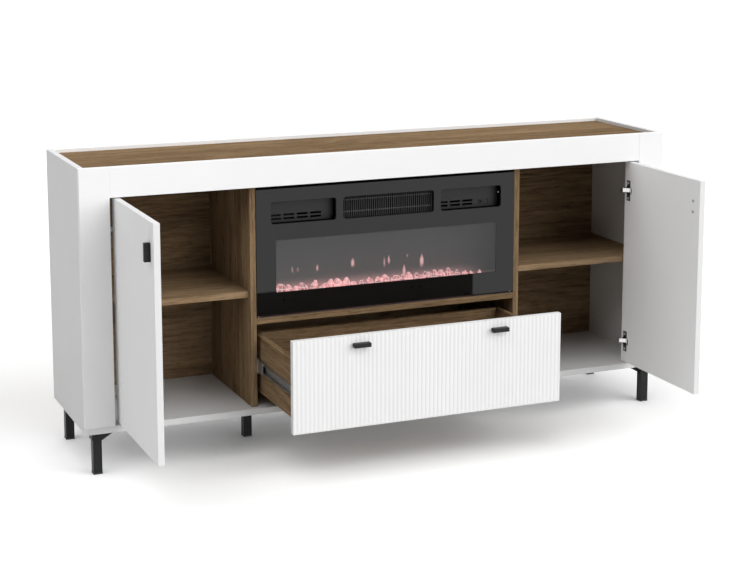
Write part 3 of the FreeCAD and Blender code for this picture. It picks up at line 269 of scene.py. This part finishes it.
def backFinish():
    look = backLook
    material, pen, place = startFinish("backSheet")
    colour, fibre, _ = oakColour(pen, place, *look["grain"])
    outside = place.parts()[1].rise(look["turnOver"] - look["soft"], look["turnOver"])
    felt = pen.node("Mapping", {}, {"Vector": place, "Scale": look["felt"]})
    fleck = felt.noise(*look["fleck"])
    blotch = place.noise(*look["blotch"])
    bareTone = fleck * look["fleckShare"] + blotch * look["blotchShare"] - look["settle"]
    colour = outside.blend(colour, bareTone.blend(look["flecked"], look["bare"]))
    rough = look["rough"] + fibre * look["fibreRough"]
    endFinish(pen, coat(pen, colour, rough, fleck, look["relief"], Specular_IOR_Level=0.0))
    return material


# black and grey coats: two tones, roughness, grain scale, relief and gloss
coatLooks = {
    "powderCoat": (0.010, 0.005, 0.42, 1500.0, 0.00008, 0.22),  # legs and pulls
    "satinSheet": (0.036, 0.026, 0.42, 2400.0, 0.00003, 0.5),
    # hinge cups: plated metal coated dark as painted shade
    "nickelInPaintedShade": (0.060, 0.035, 0.35, 1600.0, 0.00002, 0.5),  # hinge cups
    "mattePlastic": (0.030, 0.020, 0.60, 2000.0, 0.00006, 0.5),
    "paintedCan": (0.095, 0.070, 0.38, 1800.0, 0.00004, 0.5),  # motors
    "dullScrew": (0.46, 0.36, 0.45, 1600.0, 0.00002, 0.5),
}
coatCloud = {"noise": (30.0, 3.0), "share": 0.4, "roughSpan": 0.16}


def coatFinish(name):
    pale, deep, rough, fine, relief, gloss = coatLooks[name]
    material, pen, place = startFinish(name)
    grain = place.noise(fine)
    cloud = place.noise(*coatCloud["noise"])
    tone = grain * (1 - coatCloud["share"]) + cloud * coatCloud["share"]
    rough = rough + (cloud - 0.5) * coatCloud["roughSpan"]
    endFinish(pen, coat(pen, tone.blend(grey(deep), grey(pale)), rough, grain, relief,
                        Specular_IOR_Level=gloss))
    return material


# bare metals: two tones, roughness, the axis of the drawn marks, and the share of zinc frost
metalLooks = {
    "zincPlate": (0.78, 0.60, 0.26, "z", 0.0),
    "galvanised": (0.50, 0.34, 0.38, "y", 0.7),
    "rolledAlloy": (0.64, 0.50, 0.34, "x", 0.0),
    # the heater alloy is near black
    "nearBlackAlloy": (0.014, 0.006, 0.50, "x", 0.0),
    "mirrorFoil": (0.86, 0.78, 0.10, "x", 0.0),
}
metalMarks = {"squeeze": 0.04, "noise": (1400.0, 3.0, 0.6), "frostScale": 160.0,
              "roughSpan": 0.2, "relief": 0.00002}


def metalFinish(name):
    pale, deep, rough, along, frosted = metalLooks[name]
    material, pen, place = startFinish(name)
    squeeze = [metalMarks["squeeze"] if axis == along else 1.0 for axis in "xyz"]
    drawn = pen.node("Mapping", {}, {"Vector": place, "Scale": squeeze})
    marks = drawn.noise(*metalMarks["noise"])
    frost = place.cells(metalMarks["frostScale"], "F1", "Color").parts()[0]
    tone = marks * (1 - frosted) + frost * frosted
    rough = rough + (tone - 0.5) * metalMarks["roughSpan"]
    endFinish(pen, coat(pen, tone.blend(grey(deep), grey(pale)), rough, marks,
                        metalMarks["relief"], Metallic=1.0))
    return material


# vent pans: smooth black back wall that mirrors the room softly, side walls painted dead black as
# shade
panLook = {"back": -0.1560, "soft": 0.0003, "pale": grey(0.005), "deep": grey(0.003),
           "side": grey(0.0025), "grain": (2400.0, 2.0), "cloud": (30.0, 3.0),
           "rough": 0.48, "roughSpan": 0.1, "gloss": 0.29, "relief": 0.00001}


# the sheen where the mask is 1, dead black where it is 0
def panCoat(pen, place, mask):
    grain = place.noise(*panLook["grain"])
    cloud = place.noise(*panLook["cloud"])
    colour = grain.blend(panLook["deep"], panLook["pale"])
    rough = panLook["rough"] + (cloud - 0.5) * panLook["roughSpan"]
    sheen = coat(pen, colour, rough, grain, panLook["relief"], Specular_IOR_Level=panLook["gloss"])
    dead = pen.node("BsdfDiffuse", {}, {"Color": panLook["side"]})
    endFinish(pen, pen.node("MixShader", {}, {0: mask, 1: dead, 2: sheen}))


def panFinish():
    material, pen, place = startFinish("ventPan")
    # side walls painted dead black as shade; the back wall keeps its sheen
    panCoat(pen, place, place.parts()[1].rise(panLook["back"] - panLook["soft"], panLook["back"]))
    return material


# rocker switch: the pans' black, with a dead black dot near its left end
switchLook = {"dotX": 0.3135, "dotZ": 0.6870, "radius": 0.0035, "core": 0.7}


def switchFinish():
    material, pen, place = startFinish("rockerSwitch")
    x, _, z = place.parts()
    across, up = x - switchLook["dotX"], z - switchLook["dotZ"]
    away = (across * across + up * up).math("SQRT")
    radius = switchLook["radius"]
    panCoat(pen, place, away.rise(radius * switchLook["core"], radius))
    return material


# air grille: fin fronts painted grey as highlight and fin sides near black as painted shade, a
# black collar, and bright wires behind them
grilleLook = {"fin": grey(0.060), "finDeep": grey(0.042), "side": grey(0.004), "wire": grey(0.75),
              "finFront": -0.1688, "wireFront": -0.1649, "soft": 0.0003, "grain": (1800.0, 2.0),
              "rough": 0.55, "roughSpan": 0.1, "wirePolish": 0.25, "gloss": 0.05,
              "relief": 0.00002}


def grilleFinish():
    look, soft = grilleLook, grilleLook["soft"]
    material, pen, place = startFinish("airGrille")
    y = place.parts()[1]
    behind = y.rise(look["wireFront"], look["wireFront"] + soft)
    # fin fronts painted grey as highlight; fin sides near black as painted shade
    front = 1 - abs(y - look["finFront"]).rise(soft / 3, soft)
    grain = place.noise(*look["grain"])
    colour = front.blend(look["side"], grain.blend(look["finDeep"], look["fin"]))
    colour = behind.blend(colour, look["wire"])
    rough = look["rough"] + grain * look["roughSpan"] - behind * look["wirePolish"]
    endFinish(pen, coat(pen, colour, rough, grain, look["relief"], Metallic=behind,
                        Specular_IOR_Level=look["gloss"]))
    return material


# front glass: printed black, with a darkened window that carries a grey painted reflection of the
# room and turns glossy edge-on
glassLook = {"half": 0.354, "low": 0.471, "high": 0.6245, "soft": 0.0004,
             "black": grey(0.0035), "ior": 1.46, "smear": (14.0, 4.0, 0.6), "rough": 0.01,
             "roughSpan": 0.05, "smokeAndPaintedReflection": 0.30, "paintedReflectionVeil": grey(0.125), "clear": grey(0.97),
             "gloss": 0.02, "falloff": 5.0}


def glassFinish():
    look, soft = glassLook, glassLook["soft"]
    material, pen, place = startFinish("fireGlass")
    x, _, z = place.parts()
    inside = 1 - abs(x).rise(look["half"] - soft, look["half"])
    inside = inside * z.rise(look["low"], look["low"] + soft)
    inside = inside * (1 - z.rise(look["high"] - soft, look["high"]))
    rough = look["rough"] + place.noise(*look["smear"]) * look["roughSpan"]
    printed = coat(pen, look["black"], rough, IOR=look["ior"])
    through = pen.node("BsdfTransparent", {}, {"Color": look["clear"]})
    # grey diffuse layer on the window: a painted reflection of the room
    paintedReflectionVeil = pen.node("BsdfDiffuse", {}, {"Color": look["paintedReflectionVeil"]})
    gloss = pen.node("BsdfGlossy", {}, {"Color": grey(1.0), "Roughness": look["gloss"]})
    facing = pen.node("LayerWeight", {}, {"Blend": 0.5}, "Facing")
    edgeOn = facing.math("POWER", look["falloff"])
    window = pen.node("MixShader", {}, {0: look["smokeAndPaintedReflection"], 1: through, 2: paintedReflectionVeil})
    window = pen.node("MixShader", {}, {0: edgeOn, 1: window, 2: gloss})
    endFinish(pen, pen.node("MixShader", {}, {0: inside, 1: printed, 2: window}))
    return material


# flame screen: grey diffuser whose emission is painted light: a grey glow, dimmer towards the
# right, a pink glow over the bed, and a few thin flames, each with its x, z, width, height and
# strength
screenLook = {
    "grey": grey(0.030), "dim": grey(0.024), "dimBand": (0.12, 0.36),
    "sheet": grey(0.06), "sheetDeep": grey(0.05), "rough": 0.55, "roughSpan": 0.1,
    "ripple": (36.0, 3.0, 0.6), "rippleSway": 0.006, "lick": (140.0, 2.0, 0.6), "lickSway": 0.003,
    "glow": (0.75, 0.40, 0.40, 1), "glowShare": 0.8, "glowBase": 0.55, "glowRipple": 0.5,
    "glowUp": (0.458, 0.504), "glowLeft": (-0.42, -0.33), "glowRight": (0.20, 0.36),
    "flame": (0.66, 0.32, 0.32, 1), "flameBand": (0.05, 0.85), "squeeze": 1.25, "narrowing": 0.6,
    "heart": (1.0, 0.58, 0.57, 1), "heartBand": (0.0, 0.38), "strength": 1.3,
    "flames": [(-0.2797, 0.519, 0.010, 0.030, 0.45), (-0.2626, 0.518, 0.009, 0.024, 0.32),
               (-0.2014, 0.518, 0.014, 0.029, 0.70), (-0.0891, 0.524, 0.020, 0.038, 0.95),
               (0.0133, 0.517, 0.010, 0.042, 0.60), (0.0280, 0.523, 0.013, 0.037, 0.90),
               (0.0782, 0.484, 0.020, 0.056, 0.85), (0.0885, 0.530, 0.009, 0.018, 0.40),
               (0.1365, 0.512, 0.021, 0.054, 1.0)],
}


# a flame is painted light: an ellipse that narrows upwards, swayed by noise, with a brighter heart
def screenFinish():
    look = screenLook
    material, pen, place = startFinish("flameScreen")
    x, _, z = place.parts()
    ripple = place.noise(*look["ripple"])
    lick = place.noise(*look["lick"])
    sway = (ripple - 0.5) * look["rippleSway"] + (lick - 0.5) * look["lickSway"]
    # painted pink glow of the bed's light, strongest low over the bed
    low = 1 - z.rise(*look["glowUp"])
    across = (1 - x.rise(*look["glowRight"])) * x.rise(*look["glowLeft"])
    glow = low * low * across * (look["glowBase"] + ripple * look["glowRipple"])
    # the screen's grey emission is painted light, dimmer towards the right
    colour = x.rise(*look["dimBand"]).blend(look["grey"], look["dim"])
    colour = (glow * look["glowShare"]).blend(colour, look["glow"])
    for middle, height, wide, tall, strength in look["flames"]:
        up = (z - height) / (tall / 2)
        side = (x - middle + sway) / (wide / 2) * (look["squeeze"] + up * look["narrowing"])
        reach = side * side + up * up
        flame = 1 - reach.rise(*look["flameBand"])
        colour = (flame * strength).blend(colour, look["flame"])
        heart = 1 - reach.rise(*look["heartBand"])
        colour = (heart * strength).blend(colour, look["heart"])
    sheet = ripple.blend(look["sheetDeep"], look["sheet"])
    rough = look["rough"] + ripple * look["roughSpan"]
    endFinish(pen, coat(pen, sheet, rough, Emission_Color=colour,
                        Emission_Strength=look["strength"]))
    return material


# frosted tray: a pink glow painted in its emission where the bed lies on it
trayLook = {"frost": (0.55, 0.45, 0.46, 1), "frostDeep": (0.42, 0.34, 0.35, 1),
            "mottle": (90.0, 3.0, 0.6), "rough": 0.45, "roughSpan": 0.2,
            "lit": (0.90, 0.30, 0.32, 1), "dark": grey(0.02), "litBase": 0.45, "litMottle": 0.5,
            "middle": -0.012, "litAcross": (0.24, 0.37), "litUp": (0.455, 0.463)}


def trayFinish():
    look = trayLook
    material, pen, place = startFinish("crystalTray")
    x, _, z = place.parts()
    # painted glow of the lamps' light through the tray under the bed
    lit = 1 - abs(x - look["middle"]).rise(*look["litAcross"])
    lit = lit * z.rise(*look["litUp"])
    mottle = place.noise(*look["mottle"])
    colour = mottle.blend(look["frostDeep"], look["frost"])
    lit = lit * (look["litBase"] + mottle * look["litMottle"])
    shine = lit.blend(look["dark"], look["lit"])
    rough = look["rough"] + mottle * look["roughSpan"]
    endFinish(pen, coat(pen, colour, rough, Emission_Color=shine, Emission_Strength=1.0))
    return material


# lamp strip: one warm lamp every 20 mm on a pale channel
lampLook = {"pitch": 0.020, "lampBand": (0.12, 0.20), "lampUp": (0.4088, 0.4094),
            "lamp": (1.0, 0.45, 0.42, 1), "channel": grey(0.60), "channelDeep": grey(0.50),
            "cloud": (120.0, 2.0), "rough": 0.4, "roughSpan": 0.2}


def lampFinish():
    look = lampLook
    material, pen, place = startFinish("lampStrip")
    x, _, z = place.parts()
    step = (x / look["pitch"]).math("FRACT")
    lamp = 1 - abs(step - 0.5).rise(*look["lampBand"])
    lamp = lamp * z.rise(*look["lampUp"])
    cloud = place.noise(*look["cloud"])
    colour = cloud.blend(look["channelDeep"], look["channel"])
    shine = lamp.blend(grey(0.0), look["lamp"])
    rough = look["rough"] + cloud * look["roughSpan"]
    endFinish(pen, coat(pen, colour, rough, Emission_Color=shine, Emission_Strength=1.0))
    return material


# control board: green lacquer with pale tracks, dark parts standing on it
boardLook = {"lacquer": (0.020, 0.110, 0.045, 1), "track": (0.060, 0.220, 0.090, 1),
             "part": grey(0.03), "partPale": grey(0.09), "deck": 0.6491, "soft": 0.0003,
             "trackScale": 180.0, "trackBand": (0.03, 0.07), "speck": (500.0, 2.0),
             "rough": 0.35, "roughSpan": 0.2, "relief": 0.00003}


def boardFinish():
    look = boardLook
    material, pen, place = startFinish("controlBoard")
    tracks = 1 - place.cells(look["trackScale"], "DISTANCE_TO_EDGE").rise(*look["trackBand"])
    speck = place.noise(*look["speck"])
    above = place.parts()[2].rise(look["deck"], look["deck"] + look["soft"])
    colour = tracks.blend(look["lacquer"], look["track"])
    colour = above.blend(colour, speck.blend(look["part"], look["partPale"]))
    rough = look["rough"] + speck * look["roughSpan"]
    endFinish(pen, coat(pen, colour, rough, tracks, look["relief"]))
    return material


# finishes by record slot, some pieces with their own; an oak board has its grain's axis,
# its place in the pattern and the lift of its tone
finishBySlot = {
    "white_laminate": whiteFinish("carcass"),
    "backing_sheet": backFinish(),
    "black_coated_steel": coatFinish("powderCoat"),
    "black_plastic": coatFinish("mattePlastic"),
    "zinc_plated_steel": metalFinish("zincPlate"),
    "galvanised_steel": metalFinish("galvanised"),
    "black_glass": glassFinish(),
    "black_sheet": coatFinish("satinSheet"),
    "heater_alloy": metalFinish("nearBlackAlloy"),
    "blower_alloy": metalFinish("rolledAlloy"),
    "flame_diffuser": screenFinish(),
    "clear_tray": trayFinish(),
    "lamp_strip": lampFinish(),
    "circuit_board": boardFinish(),
    "switch_plastic": switchFinish(),
    "motor_can": coatFinish("paintedCan"),
    "mirror_foil": metalFinish("mirrorFoil"),
}
finishByNode = {"vent_pans": panFinish(), "air_grille": grilleFinish(),
                "heater_duct": finishBySlot["heater_alloy"],
                "drawer_front": whiteFinish("drawer"), "bottom_panel": whiteFinish("bottom")}
pairFinish = {"hinge_cups": coatFinish("nickelInPaintedShade"), "side_panel": whiteFinish("side"),
              "door_panel": whiteFinish("door"), "door_screws": coatFinish("dullScrew")}
for piece, finish in pairFinish.items():
    finishByNode.update({"left_" + piece: finish, "right_" + piece: finish})
oakGrain = {
    "top_panel": ("x", (0.30, 0.11, 0.0), 0.04),
    "middle_shelf": ("x", (1.70, 0.40, 0.2), 0.10),
    "side_shelves": ("x", (2.60, 0.75, 0.5), 0.14),
    "left_divider": ("z", (0.20, 1.30, 0.1), 0.0),
    "right_divider": ("z", (0.90, 2.10, 0.8), 0.0),
    "drawer_sides": ("y", (1.20, 0.30, 1.7), 0.0),
    "drawer_back": ("x", (0.60, 1.90, 2.3), 0.0),
    "drawer_bottom": ("x", (2.20, 0.50, 0.9), 0.0),
}
for entry in frame["record"]["subparts"]:
    piece = entry["node"]
    if piece == "crystals":  # the crystal bed stands for it
        continue
    if piece in oakGrain:
        finish = oakFinish(piece + ".oak", *oakGrain[piece])
    else:
        finish = finishByNode.get(piece) or finishBySlot[entry["material_slot"]]
    nodes[piece].data.materials.clear()
    nodes[piece].data.materials.append(finish)
print("finishes on", len(nodes) - 1, "nodes")


# crystal bed: chunks with a painted glow in two staggered rows, in clumps, smaller towards the
# right end
bedLook = {
    "seed": 23, "sides": 5, "perRow": 26, "levels": (0.0, 0.52, 1.0), "girth": (0.80, 1.0, 0.34),
    "radius": (0.0080, 0.0135), "tall": (1.4, 2.4), "jitter": 0.30, "swing": 0.3, "lean": 0.45,
    "endGap": 0.010, "rowInset": 0.0095, "stagger": 0.006, "scatter": 0.004,
    "clumps": 15, "clumpSize": (0.72, 1.15), "thinFrom": 0.20, "thinOver": 0.12, "thinBy": 0.5,
    "chunkTint": 0.6, "wallTint": 0.4, "topTint": (0.3, 1.0), "floorTint": 0.5,
    "stops": [(0.20, (0.24, 0.085, 0.090, 1)), (0.55, (0.68, 0.225, 0.235, 1)),
              (0.95, (1.0, 0.50, 0.49, 1))],
    "cloud": (160.0, 2.0), "tintShare": 0.85, "cloudShare": 0.25,
    "paintedRimHighlight": (1.0, 0.80, 0.79, 1), "rimBand": (0.05, 0.20), "rimShare": 0.9,
    "rough": 0.08, "roughSpan": 0.1, "strength": 1.32,
}


# each facet carries painted light in its own tone, which also stands for painted glints, with a
# painted highlight along its edges
def crystalFinish():
    look = bedLook
    material, pen, place = startFinish("crystalGlass")
    u, v, _ = pen.node("UVMap", {"uv_map": "facet"}, {}).parts()
    tint = pen.node("Attribute", {"attribute_name": "tint"}, {}, "Fac")
    inU, inV = 0.5 - abs(u - 0.5), 0.5 - abs(v - 0.5)
    # painted highlight along each facet's edges
    paintedRimHighlight = 1 - inU.math("MINIMUM", inV).rise(*look["rimBand"])
    cloud = place.noise(*look["cloud"])
    tone = tint * look["tintShare"] + cloud * look["cloudShare"]
    body = pen.node("ValToRGB", {"stops": look["stops"]}, {0: tone})
    shine = (paintedRimHighlight * look["rimShare"]).blend(body, look["paintedRimHighlight"])
    rough = look["rough"] + cloud * look["roughSpan"]
    endFinish(pen, coat(pen, body, rough, Emission_Color=shine,
                        Emission_Strength=look["strength"]))
    return material


# chunk point = row place + girth(ring) * radius * (cos, sin)(side angle),
# raised by level(ring) * height, and leaning with that height
def crystalBed():
    look = bedLook
    low, high = (np.array(corner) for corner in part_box("crystals"))
    rng = np.random.default_rng(look["seed"])
    sides, rings, perRow = look["sides"], len(look["levels"]), look["perRow"]
    count = 2 * perRow
    along = np.tile(np.linspace(low[0] + look["endGap"], high[0] - look["endGap"], perRow), 2)
    along = along + np.repeat([0.0, look["stagger"]], perRow)
    along = along + rng.uniform(-look["scatter"], look["scatter"], count)
    rowY = np.repeat([low[1] + look["rowInset"], high[1] - look["rowInset"]], perRow)
    clump = rng.uniform(*look["clumpSize"], look["clumps"])
    size = np.interp(along, np.linspace(low[0], high[0], look["clumps"]), clump)
    thin = np.clip((along - look["thinFrom"]) / look["thinOver"], 0, 1)
    radius = rng.uniform(*look["radius"], count) * (size * (1 - look["thinBy"] * thin))
    tall = np.minimum(radius * rng.uniform(*look["tall"], count), high[2] - low[2])
    turn = rng.uniform(0, 2 * math.pi, count)
    wobble = 1 + rng.uniform(-1, 1, (count, rings, sides)) * look["jitter"]
    swing = rng.uniform(-look["swing"], look["swing"], (count, rings, sides))
    angle = turn[:, None, None] + (np.arange(sides) + swing) * 2 * math.pi / sides
    reach = radius[:, None, None] * np.array(look["girth"])[None, :, None] * wobble
    level = tall[:, None, None] * np.array(look["levels"])[None, :, None] * np.ones((1, 1, sides))
    leanX, leanY = rng.uniform(-look["lean"], look["lean"], (2, count, 1, 1))
    points = np.stack([along[:, None, None] + reach * np.cos(angle) + leanX * level,
                       rowY[:, None, None] + reach * np.sin(angle) + leanY * level,
                       low[2] + level], axis=-1)
    points = np.clip(points, low, high).reshape(-1, 3)
    ids = np.arange(len(points)).reshape(count, rings, sides)
    after = np.roll(ids, -1, axis=2)
    walls = np.stack([ids[:, :-1], after[:, :-1], after[:, 1:], ids[:, 1:]], axis=-1)
    walls = walls.reshape(-1, 4)
    tops = ids[:, -1]
    floors = ids[:, 0, ::-1]
    mesh = bpy.data.meshes.new("crystalBed")
    mesh.from_pydata(points.tolist(), [], walls.tolist() + tops.tolist() + floors.tolist())
    corners = np.tile([[0, 0], [1, 0], [1, 1], [0, 1]], (len(walls), 1))
    caps = np.full((2 * count * sides, 2), 0.5)  # no rim on tops and floors
    facet = np.vstack([corners, caps])
    mesh.uv_layers.new(name="facet").data.foreach_set("uv", facet.ravel())
    perChunk = np.repeat(rng.uniform(0, 1, count), (rings - 1) * sides) * look["chunkTint"]
    perWall = perChunk + rng.uniform(0, look["wallTint"], len(walls))
    perTop = rng.uniform(*look["topTint"], count)
    tint = np.concatenate([perWall, perTop, np.full(count, look["floorTint"])])
    mesh.attributes.new("tint", "FLOAT", "FACE").data.foreach_set("value", tint)
    mesh.materials.append(crystalFinish())
    mesh.validate()
    bed = bpy.data.objects.new("crystal_bed", mesh)
    bpy.context.scene.collection.objects.link(bed)
    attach(bed, "cabinet")
    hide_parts("crystals")


crystalBed()
print("crystal bed made")


# pilot lamp: a small white dome on the right wall of the right vent
pilotLook = {"foot": (0.3682, -0.1652, 0.7134), "radius": 0.0017, "rise": 0.0015, "steps": 20,
             "shares": (1.0, 0.97, 0.80, 0.48), "levels": (0.0, 0.30, 0.68, 0.92),
             "bright": (1.0, 0.97, 0.94, 1), "edge": (0.55, 0.52, 0.50, 1), "strength": 0.6,
             "rough": 0.25, "roughSpan": 0.2}


def pilotFinish():
    look = pilotLook
    material, pen, place = startFinish("pilotLamp")
    toFoot = [-part for part in look["foot"]]
    _, y, z = pen.node("Mapping", {}, {"Vector": place, "Location": toFoot}).parts()
    out = (y * y + z * z).rise(0.0, look["radius"] ** 2)
    shine = out.blend(look["bright"], look["edge"])
    rough = look["rough"] + out * look["roughSpan"]
    endFinish(pen, coat(pen, shine, rough, Emission_Color=shine,
                        Emission_Strength=look["strength"]))
    return material


# dome point = foot + radius * share(ring) * (cos, sin)(turn) in the wall,
# standing out by level(ring) * rise
def pilotLamp():
    steps = pilotLook["steps"]
    turn = np.arange(steps) * 2 * math.pi / steps
    share = np.array(pilotLook["shares"])[:, None] * pilotLook["radius"]
    level = np.array(pilotLook["levels"])[:, None] * pilotLook["rise"]
    footX, footY, footZ = pilotLook["foot"]
    shell = np.stack([footX - np.repeat(level, steps, axis=1), footY + share * np.cos(turn),
                      footZ + share * np.sin(turn)], axis=-1).reshape(-1, 3)
    middles = [[footX, footY, footZ], [footX - pilotLook["rise"], footY, footZ]]
    points = np.vstack([shell, middles])
    ids = np.arange(len(shell)).reshape(-1, steps)
    after = np.roll(ids, -1, axis=1)
    walls = np.stack([ids[:-1], ids[1:], after[1:], after[:-1]], axis=-1).reshape(-1, 4)
    base = np.stack([ids[0], after[0], np.full(steps, len(shell))], axis=-1)
    crown = np.stack([after[-1], ids[-1], np.full(steps, len(shell) + 1)], axis=-1)
    mesh = bpy.data.meshes.new("pilotLamp")
    mesh.from_pydata(points.tolist(), [], walls.tolist() + base.tolist() + crown.tolist())
    mesh.polygons.foreach_set("use_smooth", np.ones(len(mesh.polygons), bool))
    mesh.materials.append(pilotFinish())
    lamp = bpy.data.objects.new("pilot_lamp", mesh)
    bpy.context.scene.collection.objects.link(lamp)
    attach(lamp, "cabinet")


pilotLamp()
print("pilot lamp made")


# studio: white floor and backdrop, a low broad key from the front right, a soft fill from the
# upper left and a weak lamp behind; round is degrees right of the front, up is degrees of height
studioLook = {
    "floorTone": 1.12, "floorBounce": 0.60, "floorHalf": 40.0, "ambient": 0.17, "spread": 70.0,
    "lamps": {"key": {"power": 3.20, "round": 38.0, "up": 18.0},
              "fill": {"power": 1.65, "round": -75.0, "up": 60.0},
              "rear": {"power": 0.90, "round": 165.0, "up": 28.0}},
}


# rays that show a surface as it is: straight from the camera, or by gloss or glass
def seenRay(pen):
    ray = pen.node("LightPath", {}, {}).socket.node.outputs
    seen = Strand(pen.tree, ray["Is Camera Ray"])
    for kind in ("Is Glossy Ray", "Is Transmission Ray"):
        seen = seen.math("MAXIMUM", Strand(pen.tree, ray[kind]))
    return seen


def studio():
    half = studioLook["floorHalf"]
    mesh = bpy.data.meshes.new("floor")
    corners = [(-half, -half, 0), (half, -half, 0), (half, half, 0), (-half, half, 0)]
    mesh.from_pydata(corners, [], [(0, 1, 2, 3)])
    material, pen, _ = startFinish("floorPaper")
    shown = pen.node("BsdfDiffuse", {}, {"Color": grey(studioLook["floorTone"])})
    bounced = pen.node("BsdfDiffuse", {}, {"Color": grey(studioLook["floorBounce"])})
    endFinish(pen, pen.node("MixShader", {}, {0: seenRay(pen), 1: bounced, 2: shown}))
    mesh.materials.append(material)
    floor = bpy.data.objects.new("floor", mesh)
    bpy.context.scene.collection.objects.link(floor)
    world = bpy.data.worlds.new("studio")
    world.use_nodes = True
    world.node_tree.nodes.clear()
    pen = Strand(world.node_tree)
    strength = studioLook["ambient"] + seenRay(pen) * (1 - studioLook["ambient"])
    sky = pen.node("Background", {}, {"Color": grey(1.0), "Strength": strength})
    pen.node("OutputWorld", {}, {"Surface": sky})
    bpy.context.scene.world = world
    for name, look in studioLook["lamps"].items():
        data = bpy.data.lights.new(name, "SUN")
        data.energy = look["power"]
        data.angle = math.radians(studioLook["spread"])
        lamp = bpy.data.objects.new(name, data)
        lamp.rotation_euler = (math.radians(90 - look["up"]), 0, math.radians(look["round"]))
        bpy.context.scene.collection.objects.link(lamp)


studio()

# camera fitted to the photo: focal length and shift in pixels of a 750 wide frame
cameraLook = {"place": (-1.973137, -4.707399, 1.611107), "turn": 0.40280, "dip": 0.16539,
              "focal": 1708.441, "wide": 750.0, "drop": 105.0, "sensor": 36.0, "far": 200.0}


def photoCamera():
    data = bpy.data.cameras.new("photoCamera")
    data.sensor_width = cameraLook["sensor"]
    data.lens = cameraLook["focal"] / cameraLook["wide"] * cameraLook["sensor"]
    data.shift_y = -cameraLook["drop"] / cameraLook["wide"]
    data.clip_end = cameraLook["far"]
    camera = bpy.data.objects.new("photoCamera", data)
    camera.location = cameraLook["place"]
    camera.rotation_euler = (math.pi / 2 - cameraLook["dip"], 0, -cameraLook["turn"])
    bpy.context.scene.collection.objects.link(camera)
    bpy.context.scene.camera = camera


photoCamera()
bpy.context.scene.view_settings.view_transform = "Standard"
print("studio and camera set")
